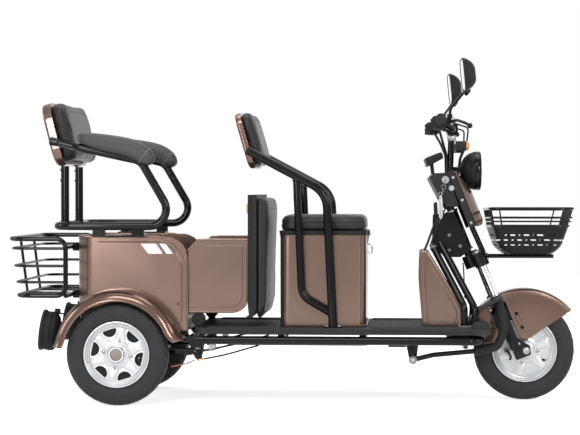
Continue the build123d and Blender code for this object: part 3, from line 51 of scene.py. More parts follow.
# ---------------------------------------------------------------- materials
def material(name, color, rough=0.5, metal=0.0, grain=0.0, grain_scale=400.0, tint=0.06, tint_scale=9.0,
             rough_var=0.06, wear=0.0, wear_color=(0.5, 0.5, 0.5), bevel=0.0, **sockets):
    """A procedural finish: uneven tone and gloss, surface grain, lighter worn edges and softened edge normals."""
    m = bpy.data.materials.new(name)
    m.use_nodes = True
    tree = m.node_tree
    tree.nodes.clear()
    new = tree.nodes.new
    link = tree.links.new
    out = new("ShaderNodeOutputMaterial")
    bsdf = new("ShaderNodeBsdfPrincipled")
    link(bsdf.outputs[0], out.inputs[0])
    bsdf.inputs["Metallic"].default_value = metal
    for key, value in sockets.items():
        bsdf.inputs[key.replace("_", " ")].default_value = value
    coord = new("ShaderNodeTexCoord")
    cloud = new("ShaderNodeTexNoise")
    cloud.inputs["Scale"].default_value = tint_scale
    cloud.inputs["Detail"].default_value = 5
    link(coord.outputs["Object"], cloud.inputs["Vector"])
    mix = new("ShaderNodeMix")
    mix.data_type = "RGBA"
    mix.inputs[6].default_value = (*[c * (1 - tint) for c in color], 1)
    mix.inputs[7].default_value = (*[min(1, c * (1 + tint)) for c in color], 1)
    link(cloud.outputs["Fac"], mix.inputs[0])
    tone = mix.outputs[2]
    if wear:
        geometry = new("ShaderNodeNewGeometry")
        edge = new("ShaderNodeMapRange")
        edge.inputs["From Min"].default_value = 0.52
        edge.inputs["From Max"].default_value = 0.62
        edge.inputs["To Max"].default_value = wear
        link(geometry.outputs["Pointiness"], edge.inputs["Value"])
        worn = new("ShaderNodeMix")
        worn.data_type = "RGBA"
        worn.inputs[7].default_value = (*wear_color, 1)
        link(edge.outputs[0], worn.inputs[0])
        link(tone, worn.inputs[6])
        tone = worn.outputs[2]
    link(tone, bsdf.inputs["Base Color"])
    fine = new("ShaderNodeTexNoise")
    fine.inputs["Scale"].default_value = grain_scale
    fine.inputs["Detail"].default_value = 3
    link(coord.outputs["Object"], fine.inputs["Vector"])
    spread = new("ShaderNodeMapRange")
    spread.inputs["To Min"].default_value = max(0.02, rough - rough_var)
    spread.inputs["To Max"].default_value = rough + rough_var
    link(cloud.outputs["Fac"], spread.inputs["Value"])
    link(spread.outputs[0], bsdf.inputs["Roughness"])
    bump = new("ShaderNodeBump")
    bump.inputs["Strength"].default_value = grain
    bump.inputs["Distance"].default_value = 0.001
    link(fine.outputs["Fac"], bump.inputs["Height"])
    if bevel:
        soft = new("ShaderNodeBevel")
        soft.samples = 4
        soft.inputs["Radius"].default_value = bevel
        link(soft.outputs[0], bump.inputs["Normal"])
    link(bump.outputs[0], bsdf.inputs["Normal"])
    return m


BRONZE = material("bronze_paint", (0.105, 0.06, 0.044), 0.2, 0.75, grain=0.05, grain_scale=1500, tint=0.05,
                  wear=0.15, wear_color=(0.42, 0.32, 0.27), bevel=0.004, Specular_IOR_Level=0.3,
                  Coat_Weight=0.3, Coat_Roughness=0.1)
# A darker, shaded copy of the bronze paint. On the front fender's rolled edge it is painted shade; the bench pins use
# the same darker copy.
BRONZE_PAINTED_SHADE = material("bronze_painted_shade", (0.085, 0.045, 0.033), 0.3, 0.6, grain=0.05, grain_scale=1500, tint=0.08,
                       bevel=0.002, Coat_Weight=0.4, Coat_Roughness=0.15)
BLACK = material("black_tube", (0.003, 0.003, 0.0035), 0.14, 0.0, grain=0.04, grain_scale=900, tint=0.3, wear=0.1,
                 wear_color=(0.05, 0.05, 0.05), bevel=0.0012, Specular_IOR_Level=0.1, Coat_Weight=0.12,
                 Coat_Roughness=0.06)
PLASTIC = material("black_plastic", (0.011, 0.011, 0.012), 0.42, 0.0, grain=0.25, grain_scale=2200, tint=0.2,
                   wear=0.2, wear_color=(0.05, 0.05, 0.05), bevel=0.002, Specular_IOR_Level=0.08)
RUBBER = material("rubber", (0.013, 0.013, 0.014), 0.6, 0.0, grain=0.3, grain_scale=1500, tint=0.25, wear=0.3,
                  wear_color=(0.06, 0.06, 0.06), bevel=0.002, Specular_IOR_Level=0.12)
SOFT_GRIP = material("soft_grip", (0.014, 0.014, 0.015), 0.46, 0.0, grain=0.3, grain_scale=900, tint=0.2, wear=0.2,
                     wear_color=(0.06, 0.06, 0.06), Specular_IOR_Level=0.4)
TYRE = material("tyre_rubber", (0.02, 0.02, 0.021), 0.55, 0.0, grain=0.35, grain_scale=1200, tint=0.35,
                tint_scale=14, wear=0.5, wear_color=(0.08, 0.08, 0.08), Specular_IOR_Level=0.15)
HUB_CAP = material("hub_cap_paint", (0.17, 0.145, 0.13), 0.5, 0.3, grain=0.1, grain_scale=900, tint=0.1)
ALLOY = material("alloy", (0.4, 0.41, 0.42), 0.3, 0.7, grain=0.12, grain_scale=700, tint=0.05, rough_var=0.08,
                 wear=0.3, wear_color=(0.95, 0.95, 0.95), bevel=0.0015)
CHROME = material("chrome_plate", (0.58, 0.58, 0.6), 0.12, 1.0, grain=0.02, tint=0.03, rough_var=0.03)
STEEL = material("zinc_steel", (0.26, 0.26, 0.27), 0.36, 0.9, grain=0.2, grain_scale=900, tint=0.15, bevel=0.001)
LEATHER = material("black_leather", (0.008, 0.008, 0.009), 0.38, 0.0, grain=0.5, grain_scale=520, tint=0.25,
                   wear=0.1, wear_color=(0.04, 0.04, 0.04), Specular_IOR_Level=0.2, Sheen_Weight=0.12,
                   Sheen_Roughness=0.35)
WHITE = material("white_stripe", (0.86, 0.86, 0.86), 0.35, 0.0, grain=0.1, tint=0.02)
CLEAR = material("clear_lens", (0.9, 0.92, 0.95), 0.08, 0.0, grain=0.3, grain_scale=120, tint=0.02,
                 Transmission_Weight=0.9, IOR=1.45)
RED = material("red_lens", (0.45, 0.012, 0.01), 0.14, 0.0, grain=0.5, grain_scale=160, tint=0.1,
               Transmission_Weight=0.25, Coat_Weight=0.6)
AMBER = material("amber_lens", (0.65, 0.22, 0.02), 0.16, 0.0, grain=0.4, grain_scale=200, tint=0.1,
                 Transmission_Weight=0.25, Coat_Weight=0.6)
GREY = material("grey_plastic", (0.13, 0.13, 0.135), 0.5, 0.0, grain=0.2, grain_scale=1500, tint=0.12, bevel=0.002)
BRASS = material("brass", (0.42, 0.27, 0.13), 0.36, 0.9, grain=0.1, tint=0.1)
COPPER = material("copper", (0.24, 0.095, 0.05), 0.45, 0.7, grain=0.1, tint=0.15)
GLASS_MIRROR = material("mirror_glass", (0.85, 0.87, 0.9), 0.03, 1.0, grain=0.01, tint=0.01, rough_var=0.01)
SCREEN = material("display_screen", (0.02, 0.03, 0.028), 0.12, 0.0, grain=0.03, tint=0.1, Coat_Weight=1.0)

LOOKS = {
    BRONZE: "leg_shield_box driver_seat_box driver_backrest_shell rear_backrest_shell rear_box rear_fenders "
            "front_fender bench_tub cowl_cover bench_hinge_pins",
    BLACK: "armrest_frame driver_arm_frame floor_frame front_frame rear_subframe rear_basket basket_bracket "
           "front_basket handlebar fork swing_arms rear_axle mirror_stems brake_levers",
    PLASTIC: "cowl_shell dash_panel display switch_boxes mirrors tail_lights driver_seat_lid bench_base_plate "
             "headlight turn_signals battery_pack",
    RUBBER: "grips floorboard armrest_pads bench_rest brake_pedal handlebar_cables brake_cables",
    TYRE: "front_tyre rear_tyre_left rear_tyre_right",
    ALLOY: "front_rim rear_rim_left rear_rim_right",
    LEATHER: "driver_seat_cushion driver_backrest_cushion rear_backrest_cushion bench_cushion",
    STEEL: "front_axle shock_absorbers seat_lid_hinge",
    CHROME: "ignition_lock",
    CLEAR: "headlight_lens",
    RED: "tail_light_lenses",
}
for look, names in LOOKS.items():
    for name in names.split():
        if name in nodes:
            mesh = nodes[name].data
            mesh.materials.clear()
            mesh.materials.append(look)

# ---------------------------------------------------------------- floor, light and camera
def background_rays(tree, path):
    """1 for the camera, glossy and transmission rays, which see the background as white."""
    seen = None
    for ray in ("Is Camera Ray", "Is Glossy Ray", "Is Transmission Ray"):
        either = tree.nodes.new("ShaderNodeMath")
        either.operation = "MAXIMUM"
        tree.links.new(path.outputs[ray], either.inputs[0])
        either.inputs[1].default_value = 0
        if seen:
            tree.links.new(seen.outputs[0], either.inputs[1])
        seen = either
    return seen


def stage_setup():
    """A pale floor and backdrop that the camera sees as white, soft lamps, and the camera."""
    scene = bpy.context.scene
    scene.view_settings.view_transform = "Standard"
    mesh = bpy.data.meshes.new("floor")
    mesh.from_pydata([(-9, -9, 0), (9, -9, 0), (9, 9, 0), (-9, 9, 0)], [], [(0, 1, 2, 3)])
    floor = bpy.data.objects.new("floor", mesh)
    scene.collection.objects.link(floor)
    m = bpy.data.materials.new("floor_white")
    m.use_nodes = True
    tree = m.node_tree
    tree.nodes.clear()
    out = tree.nodes.new("ShaderNodeOutputMaterial")
    diffuse = tree.nodes.new("ShaderNodeBsdfDiffuse")
    diffuse.inputs[0].default_value = (0.8, 0.8, 0.8, 1)
    glow = tree.nodes.new("ShaderNodeEmission")
    glow.inputs[1].default_value = 0.68
    both = tree.nodes.new("ShaderNodeAddShader")
    swap = tree.nodes.new("ShaderNodeMixShader")
    path = tree.nodes.new("ShaderNodeLightPath")
    seen = background_rays(tree, path)
    tree.links.new(diffuse.outputs[0], both.inputs[0])
    tree.links.new(glow.outputs[0], both.inputs[1])
    tree.links.new(seen.outputs[0], swap.inputs[0])
    tree.links.new(diffuse.outputs[0], swap.inputs[1])
    tree.links.new(both.outputs[0], swap.inputs[2])
    tree.links.new(swap.outputs[0], out.inputs[0])
    mesh.materials.append(m)

    world = bpy.data.worlds.new("studio")
    scene.world = world
    world.use_nodes = True
    tree = world.node_tree
    tree.nodes.clear()
    out = tree.nodes.new("ShaderNodeOutputWorld")
    dim = tree.nodes.new("ShaderNodeBackground")
    white = tree.nodes.new("ShaderNodeBackground")
    white.inputs[0].default_value = (1, 1, 1, 1)
    white.inputs[1].default_value = 1.0
    coord = tree.nodes.new("ShaderNodeTexCoord")
    split = tree.nodes.new("ShaderNodeSeparateXYZ")
    ramp = tree.nodes.new("ShaderNodeValToRGB")
    ramp.color_ramp.elements[0].position = 0.0
    ramp.color_ramp.elements[0].color = (0.12, 0.12, 0.12, 1)
    ramp.color_ramp.elements[1].position = 0.9
    ramp.color_ramp.elements[1].color = (1, 1, 1, 1)
    swap = tree.nodes.new("ShaderNodeMixShader")
    path = tree.nodes.new("ShaderNodeLightPath")
    tree.links.new(coord.outputs["Generated"], split.inputs[0])
    tree.links.new(split.outputs["Z"], ramp.inputs[0])
    tree.links.new(ramp.outputs[0], dim.inputs[0])
    dim.inputs[1].default_value = 0.6
    seen = background_rays(tree, path)
    tree.links.new(seen.outputs[0], swap.inputs[0])
    tree.links.new(dim.outputs[0], swap.inputs[1])
    tree.links.new(white.outputs[0], swap.inputs[2])
    tree.links.new(swap.outputs[0], out.inputs[0])

    lamps = [
        ("left_strip", (-1.7, -4.4, 1.25), (-0.7, 0, 0.6), 0.6, 1.2, 70),
        ("right_strip", (2.3, -4.2, 2.0), (0.75, 0, 0.45), 0.6, 1.5, 85),
        ("key", (-0.6, -3.2, 3.6), (0, 0, 0.4), 2.4, 1.2, 100),
        ("top", (0, 0.3, 4.0), (0, 0, 0), 3.4, 2.0, 95),
        ("rear", (-3.8, -0.8, 1.7), (-0.6, 0, 0.6), 1.1, 1.6, 45),
        ("front", (3.9, -0.9, 2.0), (0.4, 0, 0.6), 1.1, 1.6, 45),
    ]
    for name, place, target, width, height, power in lamps:
        data = bpy.data.lights.new(name, "AREA")
        data.shape = "RECTANGLE"
        data.size = width
        data.size_y = height
        data.energy = power
        lamp = bpy.data.objects.new(name, data)
        lamp.location = place
        aim = Vector(target) - Vector(place)
        lamp.rotation_euler = aim.to_track_quat("-Z", "Y").to_euler()
        scene.collection.objects.link(lamp)

    data = bpy.data.cameras.new("camera")
    data.sensor_width = 36
    data.lens = 108.6
    camera = bpy.data.objects.new("camera", data)
    camera.location = (0.4254, -6.4343, 0.765)
    camera.rotation_euler = (math.radians(90 - 0.9), 0, math.radians(4))
    scene.collection.objects.link(camera)
    scene.camera = camera


stage_setup()

# ---------------------------------------------------------------- mesh tools, in millimetres
X, Y, Z = Vector((1, 0, 0)), Vector((0, 1, 0)), Vector((0, 0, 1))


def steer(across, up, y=0.0):
    """A point given along and across the steering axis."""
    return ON_AXIS + Y * y + AHEAD_FORK * across + UP_FORK * up


def round_off(points, reach, steps=6, closed=False):
    """Round the corners of a line of points."""
    points = [Vector(p) for p in points]
    line = []
    for i, p in enumerate(points):
        if not closed and i in (0, len(points) - 1):
            line.append(p)
            continue
        before, after = points[i - 1] - p, points[(i + 1) % len(points)] - p
        start = p + before.normalized() * min(reach, before.length * 0.49)
        end = p + after.normalized() * min(reach, after.length * 0.49)
        for k in range(steps + 1):
            t = k / steps
            line.append(start * (1 - t) ** 2 + p * (2 * t * (1 - t)) + end * t * t)
    return line


def xz(points, y):
    """Points given by X and Z on the plane at y."""
    return [Vector((x, y, z)) for x, z in points]


class Shape:
    """A mesh that grows piece by piece and becomes one Blender object."""

    def __init__(self):
        self.verts, self.faces = [], []

    def add(self, verts, faces):
        base = len(self.verts)
        self.verts += [Vector(v) for v in verts]
        self.faces += [[base + i for i in face] for face in faces]
        return self

    def rings(self, rings, closed=False, caps=True):
        """Join loops of equal length, one after another."""
        n, count = len(rings[0]), len(rings)
        faces = []
        for k in range(count if closed else count - 1):
            a, b = k * n, (k + 1) % count * n
            faces += [(a + i, a + (i + 1) % n, b + (i + 1) % n, b + i) for i in range(n)]
        if caps and not closed:
            faces += [list(range(n))[::-1], [(count - 1) * n + i for i in range(n)]]
        return self.add([p for ring in rings for p in ring], faces)

    def grid(self, rows, wrap=False):
        """Join open rows of equal length."""
        n, count = len(rows[0]), len(rows)
        faces = []
        for k in range(count if wrap else count - 1):
            a, b = k * n, (k + 1) % count * n
            faces += [(a + i, a + i + 1, b + i + 1, b + i) for i in range(n - 1)]
        return self.add([p for row in rows for p in row], faces)

    def tube(self, points, radius, sides=10, closed=False, flat=1.0):
        """A round bar along a line of points, its radius one value or one for each point."""
        points = [Vector(p) for p in points]
        n = len(points)
        radii = radius if isinstance(radius, (list, tuple)) else [radius] * n
        rings = []
        normal = None
        for i, p in enumerate(points):
            if closed:
                along = points[(i + 1) % n] - points[i - 1]
            else:
                along = points[min(i + 1, n - 1)] - points[max(i - 1, 0)]
            along.normalize()
            if normal is None:
                normal = along.orthogonal()
            normal = (normal - along * normal.dot(along)).normalized()
            side = along.cross(normal)
            turns = [math.tau * k / sides for k in range(sides)]
            rings.append([p + (normal * math.cos(t) + side * math.sin(t) * flat) * radii[i] for t in turns])
        return self.rings(rings, closed)

    def lathe(self, profile, at, axis, steps=48, start=0.0, turn=360.0, first=None):
        """Turn a line of (radius, height) about an axis; first is the direction at angle 0."""
        at, axis = Vector(at), Vector(axis).normalized()
        u = Vector(first) if first else axis.orthogonal()
        u = (u - axis * u.dot(axis)).normalized()
        w = axis.cross(u)
        full = turn >= 360
        rows = []
        for i in range(steps if full else steps + 1):
            a = math.radians(start + turn * i / steps)
            d = u * math.cos(a) + w * math.sin(a)
            rows.append([at + d * r + axis * h for r, h in profile])
        return self.grid(rows, wrap=full)

    def prism(self, outline, at, u, v, depth):
        """Extrude an outline given along u and v, along their cross product."""
        at, u, v = Vector(at), Vector(u), Vector(v)
        low = [at + u * a + v * b for a, b in outline]
        rise = u.cross(v).normalized() * depth
        return self.rings([low, [p + rise for p in low]])

    def plate(self, outline, y0, y1):
        """Extrude an outline given by X and Z from y0 to y1."""
        return self.rings([xz(outline, y0), xz(outline, y1)])

    def bolt(self, at, normal, size=5.0):
        """A hexagon bolt head with its washer."""
        at, normal = Vector(at), Vector(normal).normalized()
        u = normal.orthogonal().normalized()
        self.lathe([(0, 0), (size * 1.5, 0), (size * 1.5, size * 0.22), (size * 1.3, size * 0.32), (0, size * 0.32)],
                   at, normal, 20)
        corners = [(math.cos(math.tau * k / 6) * size, math.sin(math.tau * k / 6) * size) for k in range(6)]
        self.prism(corners, at + normal * size * 0.3, u, normal.cross(u), size * 0.5)
        return self.lathe([(size * 0.8, size * 0.8), (size * 0.55, size * 0.95), (0, size)], at, normal, 12)

    def ring(self, at, axis, radius, thick, steps=40, sides=8):
        """A ring of round section."""
        section = [(radius + thick * math.cos(math.tau * k / sides), thick * math.sin(math.tau * k / sides))
                   for k in range(sides + 1)]
        return self.lathe(section, at, axis, steps)

    def mesh(self, name, bevel=0.0):
        """The finished mesh in metres, its faces turned outward."""
        mesh = bpy.data.meshes.new(name)
        mesh.from_pydata([v * 0.001 for v in self.verts], [], self.faces)
        bm = bmesh.new()
        bm.from_mesh(mesh)
        bmesh.ops.remove_doubles(bm, verts=bm.verts, dist=2e-6)
        bmesh.ops.recalc_face_normals(bm, faces=bm.faces)
        if bevel:
            edges = [e for e in bm.edges if e.is_manifold and e.calc_face_angle(0) > math.radians(40)]
            bmesh.ops.bevel(bm, geom=edges, offset=bevel * 0.001, segments=2, affect="EDGES", profile=0.5,
                            clamp_overlap=True)
        bm.to_mesh(mesh)
        bm.free()
        return mesh

    def out(self, name, look, body, sharp=38, bevel=0.0, replaces=()):
        """Make the object, in the look given, riding on a body."""
        return place(self.mesh(name, bevel), name, look, body, sharp, replaces)


def place(mesh, name, look, body, sharp=38, replaces=(), turned=False):
    """Put a mesh in the scene with its look and body; steered pieces take the steering's rest turn."""
    if body in ("steering", "front_wheel") and not turned:
        mesh.transform(TURN)
    mesh.polygons.foreach_set("use_smooth", [True] * len(mesh.polygons))
    mesh.set_sharp_from_angle(angle=math.radians(sharp))
    mesh.materials.clear()
    mesh.materials.append(look)
    piece = bpy.data.objects.new(name, mesh)
    bpy.context.scene.collection.objects.link(piece)
    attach(piece, body)
    if replaces:
        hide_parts(*replaces)
    return piece


def applied(mesh, setup):
    """The mesh after modifiers that setup puts on a passing object."""
    passing = bpy.data.objects.new("passing", mesh)
    bpy.context.scene.collection.objects.link(passing)
    extra = setup(passing) or []
    graph = bpy.context.evaluated_depsgraph_get()
    result = bpy.data.meshes.new_from_object(passing.evaluated_get(graph))
    for thing in [passing, *extra]:
        bpy.data.objects.remove(thing)
    return result


def solid(mesh, thickness):
    """Give a sheet its thickness, inward."""
    def setup(passing):
        shell = passing.modifiers.new("shell", "SOLIDIFY")
        shell.thickness = thickness * 0.001
        shell.offset = -1
    return applied(mesh, setup)


def cut(mesh, cutter):
    """Take a closed shape out of a mesh."""
    def setup(passing):
        tool = bpy.data.objects.new("tool", cutter)
        bpy.context.scene.collection.objects.link(tool)
        tool.hide_render = True
        knife = passing.modifiers.new("knife", "BOOLEAN")
        knife.operation = "DIFFERENCE"
        knife.solver = "EXACT"
        knife.object = tool
        return [tool]
    return applied(mesh, setup)

# ---------------------------------------------------------------- wheels
def tyre_mesh(x, y):
    """A tyre with two rows of slanted tread blocks and ribbed sidewalls."""
    side = [(104, 28.2), (118, 28.6), (121, 31.6), (125, 34.4), (127.5, 34.2), (129, 35.2), (134, 37.2), (140, 38.7),
            (147, 39.1), (153, 38.8), (158, 38.0), (159.5, 39.0), (162, 38.8), (163.2, 37.2), (166, 36.6)]
    shoulder = [(168.5, 35.6, 0.6), (171, 34.2, 1), (174.2, 31, 1), (177, 26.5, 1), (179.4, 20.5, 1), (181.4, 14.5, 1)]
    crown = [(178.4, 13.8), (178.6, 11.4), (182.0, 10.8), (182.8, 6), (183, 0)]
    half = [(r, a, 0.0, 0.0) for r, a in side]
    half += [(r, a, w, 1.0 - (i + 1) / 6) for i, (r, a, w) in enumerate(shoulder)]
    half = [(r, a, w, 1.0 if k < len(side) else lean) for k, (r, a, w, lean) in enumerate(half)]
    half += [(r, a, 0.0, 0.0) for r, a in crown]
    lugs, steps = 34, ((0, 0), (0.03, 1), (0.2, 1), (0.23, 0), (0.42, 0), (0.62, 0), (0.81, 0))
    shape = Shape()
    rows = []
    for lug in range(lugs):
        for part, groove in steps:
            row = []
            for sign in (1, -1):
                section = half if sign > 0 else half[-2::-1]
                for r, a, w, lean in section:
                    turn = (lug + part + lean * 1.1 + (0.5 if sign < 0 and w else 0)) / lugs * math.tau
                    r -= 4.5 * w * groove
                    row.append(Vector((x + r * math.cos(turn), y + a * sign, 183 + r * math.sin(turn))))
            rows.append(row)
    return shape.grid(rows, wrap=True)


def rim_mesh(x, y, out, pocket):
    """An alloy rim with stepped lips and six half-moon windows; pocket is how deep they are cut."""
    section = [(96, -33), (104, -33), (116, -33), (118, -31), (118, -29.6), (104, -29), (103.6, 29), (118, 29.6),
               (118.2, 31.8), (116.6, 34.4), (113.6, 34.8), (111.6, 33), (109.5, 29.8), (105.8, 29.2), (104.6, 27.6),
               (102.2, 24), (99, 23), (96.8, 19.6), (60, 18.8), (28, 18.8), (28, 8), (94, 9), (96, 7), (96, -33)]
    body = Shape().lathe(section, (x, y, 183), (0, out, 0), 96, first=X)
    cutter = Shape()
    for k in range(6):
        a = math.radians(48 + 60 * k)
        u, v = Vector((math.cos(a), 0, math.sin(a))), Vector((-math.sin(a), 0, math.cos(a)))
        arc = [(90.2 + 1.5 * math.cos(math.pi * t / 12), 25 * math.sin(math.pi * t / 12)) for t in range(-5, 6)]
        arc += [(89 - 24 * math.cos(math.pi * t / 20), 25 * math.sin(math.pi * t / 20)) for t in range(9, -10, -1)]
        face = Vector((x, y + out * (20 - pocket), 183))
        loop = [face + u * p + v * q for p, q in arc]
        cutter.rings([loop, [p + Vector((0, out * 30, 0)) for p in loop]])
    return cut(body.mesh("rim"), cutter.mesh("windows"))


def rim_details(name, body, x, y, out, boss):
    """Raised spokes, hub boss, and lug nuts in their recesses."""
    spokes, dark, nuts = Shape(), Shape(), Shape()
    axis = Vector((0, out, 0))
    hub = Vector((x, y, 183))
    for k in range(6):
        a = math.radians(18 + 60 * k)
        u, v = Vector((math.cos(a), 0, math.sin(a))), Vector((-math.sin(a), 0, math.cos(a)))
        outer = [(42, 15), (58, 19), (70, 17), (84, 12.5), (95.5, 16)]
        loop = [(r, -w) for r, w in outer] + [(r, w) for r, w in outer[::-1]]
        low = [hub + axis * 18.2 + u * r + v * w for r, w in loop]
        top = [hub + axis * 20.4 + u * (r * 0.985 + 0.9) + v * w * 0.86 for r, w in loop]
        ridge = [p + axis * (1.6 if abs(w) < 14 else 0.6) for p, (r, w) in zip(top, loop)]
        spokes.rings([low, ridge])
    spokes.lathe([(boss, 26), (boss + 3, 26), (boss + 5, 24.6), (44, 22.6), (50, 21.8), (52, 18.4)], hub, axis, 64)
    spokes.ring(hub + axis * 25, axis, boss + 1.5, 2.4, 48)
    for k in range(4):
        a = math.radians(79 + 91 * k)
        u, v = Vector((math.cos(a), 0, math.sin(a))), Vector((-math.sin(a), 0, math.cos(a)))
        recess = [(42, -7.5), (57, -1.2), (57, 1.2), (42, 7.5)]
        loop = [hub + axis * 18.6 + u * r + v * w for r, w in recess]
        dark.rings([loop, [p + axis * 4.6 for p in loop]])
        nuts.bolt(hub + axis * 23.2 + u * 47, axis, 3.8)
    spokes.out(name + "_spokes", ALLOY, body, bevel=0.8)
    dark.out(name + "_recesses", GREY, body, bevel=0.5)
    nuts.out(name + "_lug_nuts", STEEL, body)


for name, body, x, y, out in (("rear_right", "rear_wheel_right", -618, -284, -1),
                              ("rear_left", "rear_wheel_left", -618, 284, 1), ("front", "front_wheel", 832, 0, -1)):
    where = "front" if name == "front" else "rear"
    side = name.replace("rear", "rear_tyre") if where == "rear" else "front_tyre"
    place(tyre_mesh(x, y).mesh(side), name + "_tread", TYRE, body, replaces=(side,))
    node = side.replace("tyre", "rim")
    place(rim_mesh(x, y, out, 20 if where == "rear" else 7), name + "_alloy", ALLOY, body, 30, (node,))
    rim_details(name, body, x, y, out, 27.5 if where == "rear" else 29)
    hub = Vector((x, y, 183))
    valve = Shape()
    angle = math.radians(-9 if where == "rear" else -28)
    spot = hub + Vector((math.cos(angle) * 80, out * 20, math.sin(angle) * 80))
    if where == "rear":
        drum = Shape().lathe([(28.5, 4), (60, 6), (94, 6), (94, 2), (28.5, 0), (28.5, 4)], hub, (0, out, 0), 64)
        drum.out(name + "_backing", PLASTIC, body)
        Shape().lathe([(28, 8), (28, -26), (12, -26), (12, 26), (27, 26), (28, 24), (28, 8)], hub, (0, out, 0)).out(
            name + "_hub", ALLOY, body)
        valve.tube([spot + Y * -out * 14, spot, spot + Y * out * 3], [3, 2.6, 2.2], 12)
        valve.out(name + "_valve", BRASS, body, bevel=0.3)
        cap = Shape().lathe([(20.9, 34), (20.9, 41.4), (19.6, 42.2), (0, 42.4)], hub, (0, out, 0), 48)
        cap.out(name + "_hub_cap", HUB_CAP, "chassis")
        rim_ring = [(28.4, 24), (28.4, 36), (27, 41), (25.4, 42.6), (22.4, 42.6), (21.1, 41), (21.1, 34)]
        Shape().lathe(rim_ring, hub, (0, out, 0), 56).out(name + "_hub_ring", CHROME, "chassis")
    else:
        for end in (-1, 1):
            Shape().lathe([(30, 8), (30, 44), (27, 46.4), (8, 46.4), (8, 20), (24, 8), (30, 8)], hub, (0, end, 0)).out(
                "front_hub_" + ("right" if end < 0 else "left"), ALLOY, body)
        valve.tube([spot + Y * 10, spot, spot - Y * 6], [3.2, 3.2, 4.2], 12).tube(
            [spot + Vector((-7, -5, 2)), spot + Vector((7, -5, -2))], 3.4, 10)
        valve.out("front_valve", PLASTIC, body, bevel=0.4)

# ---------------------------------------------------------------- fork and front fender
fork, black, seals, bolts = Shape(), Shape(), Shape(), Shape()
for side in (-1, 1):
    leg = steer(27, 0, side * 72)
    fork.lathe([(13.35, -127), (13.35, -256)], leg, UP_FORK, 40)
    seals.lathe([(19.2, -272), (21.4, -270), (21.6, -256), (19.6, -251), (16, -248.6), (13.5, -248)], leg, UP_FORK, 40)
    seals.lathe([(25.2, -130), (26.6, -128), (26.6, -120), (25.2, -118)], leg, UP_FORK, 40)
    black.lathe([(19.2, -272), (19.7, -276), (19.5, -300), (20.2, -304), (20.2, -312), (19.5, -316), (19.5, -404),
                 (20.4, -408), (20.4, -420), (19.1, -424)], leg, UP_FORK, 40)
    bolts.lathe([(0, -70), (8, -70), (13, -72), (15, -76), (15, -78.4)], leg, UP_FORK, 6)
    for up in (-88, -114):
        bolts.bolt(steer(52.5, up, side * 72), AHEAD_FORK, 4.2)
    bolts.bolt(Vector((832, side * 88.4, 183)), Y * side, 8.5)
    bolts.bolt(steer(42, -440, side * 80.2), Y * side, 4)
    arm = xz([(760, 186), (772, 172), (778, 158), (772, 150)], side * 84)
    black.tube(round_off(arm, 8), 4.2, 10)
    black.ring(Vector((762, side * 84, 186)), Y, 6.5, 2.4, 20)
fork.out("fork_stanchions", CHROME, "steering")
black.out("fork_sliders", PLASTIC, "steering")
seals.out("fork_seals", BLACK, "steering")
bolts.out("fork_bolts", STEEL, "steering", bevel=0.3)

HUB = Vector((832, 0, 183))


def polar_low(angle, line):
    """Distance from the front axle to a lower edge given by points (X, Z) from the axle, along an angle."""
    d = Vector((math.cos(math.radians(angle)), math.sin(math.radians(angle))))
    for (x0, z0), (x1, z1) in zip(line, line[1:]):
        ex, ez = x1 - x0, z1 - z0
        den = d.x * ez - d.y * ex
        if abs(den) < 1e-6:
            continue
        r, t = (x0 * ez - z0 * ex) / den, (x0 * d.y - z0 * d.x) / den
        if -1e-4 <= t <= 1.0001 and r > 0:
            return r
    return 197.0


fender, edge, ribs, dots = Shape(), Shape(), Shape(), Shape()
tip = [(144, 128), (60, 74), (20, 44), (8, 38), (-8, 40), (-24, 51), (-40, 95)]
tail = [(-128, 147), (-98, 72), (-92, 54), (-104, 33), (-131, 24), (-168, 22)]
spans = ([(41.7 + 70.6 * k / 40, tip) for k in range(41)], [(131.1 + 41.2 * k / 24, tail) for k in range(25)])
for side in (-1, 1):
    for span in spans:
        rows = []
        for angle, line in span:
            low = min(196, polar_low(angle, line))
            d = Vector((math.cos(math.radians(angle)), 0, math.sin(math.radians(angle))))
            row = []
            for k in range(19):
                r = low + (209 - low) * (k / 18) ** 0.8
                tuck = 52.0 - 0.00022 * (209 - r) ** 2
                row.append(HUB + d * r + Y * side * tuck)
            rows.append(row)
        fender.grid(rows)
    gap = [(111.6 + 20 * k / 10) for k in range(11)]
    fender.grid([[HUB + Vector((math.cos(math.radians(a)) * r, side * 52, math.sin(math.radians(a)) * r))
                  for r in (191, 197, 203, 209)] for a in gap])
    for x, z in ((801, 316), (822, 266), (713, 283)):
        dots.bolt(Vector((x, side * 52.2, z)), Y * side, 4.6)
    for dx in (-7, 8):
        ribs.tube([Vector((802 + dx, side * 51.6, 306)), Vector((818 + dx, side * 50.6, 276))], 1.5, 8)
profile = [(209, 52), (215, 51.8), (219.5, 49.5), (222.6, 44), (224, 36), (225, 20), (225.2, 0)]
profile += [(r, -a) for r, a in profile[-2::-1]]
edge.lathe(profile, HUB, -Y, 96, 41, 138, X)
place(solid(fender.mesh("fender"), 2.4), "front_fender_sides", BRONZE, "steering", replaces=("front_fender",))
# The rolled edge takes the darker bronze copy: painted shade along the fender's shoulder, where it curves away from the
# light.
place(solid(edge.mesh("edge"), 2.4), "front_fender_rolled_edge", BRONZE_PAINTED_SHADE, "steering")
for side in (-1, 1):
    ribs.lathe([(207.6, 51.4), (209, 52.9), (211, 52.9), (212, 51.4)], HUB, Y * side, 96, -41 if side > 0 else 41,
               -138 if side > 0 else 138, X)
ribs.out("front_fender_beads", BRONZE, "steering")
dots.out("front_fender_bolts", BLACK, "steering", bevel=0.3)

# ---------------------------------------------------------------- front basket
wires, panel, tabs = Shape(), Shape(), Shape()
mid, top_mid = 842.0, 846.0


def basket_loop(z, half_x, half_y, x, corner):
    """A rounded rectangle at height z."""
    corners = [(x - half_x, -half_y, z), (x + half_x, -half_y, z), (x + half_x, half_y, z), (x - half_x, half_y, z)]
    return round_off(corners, corner, 8, closed=True)


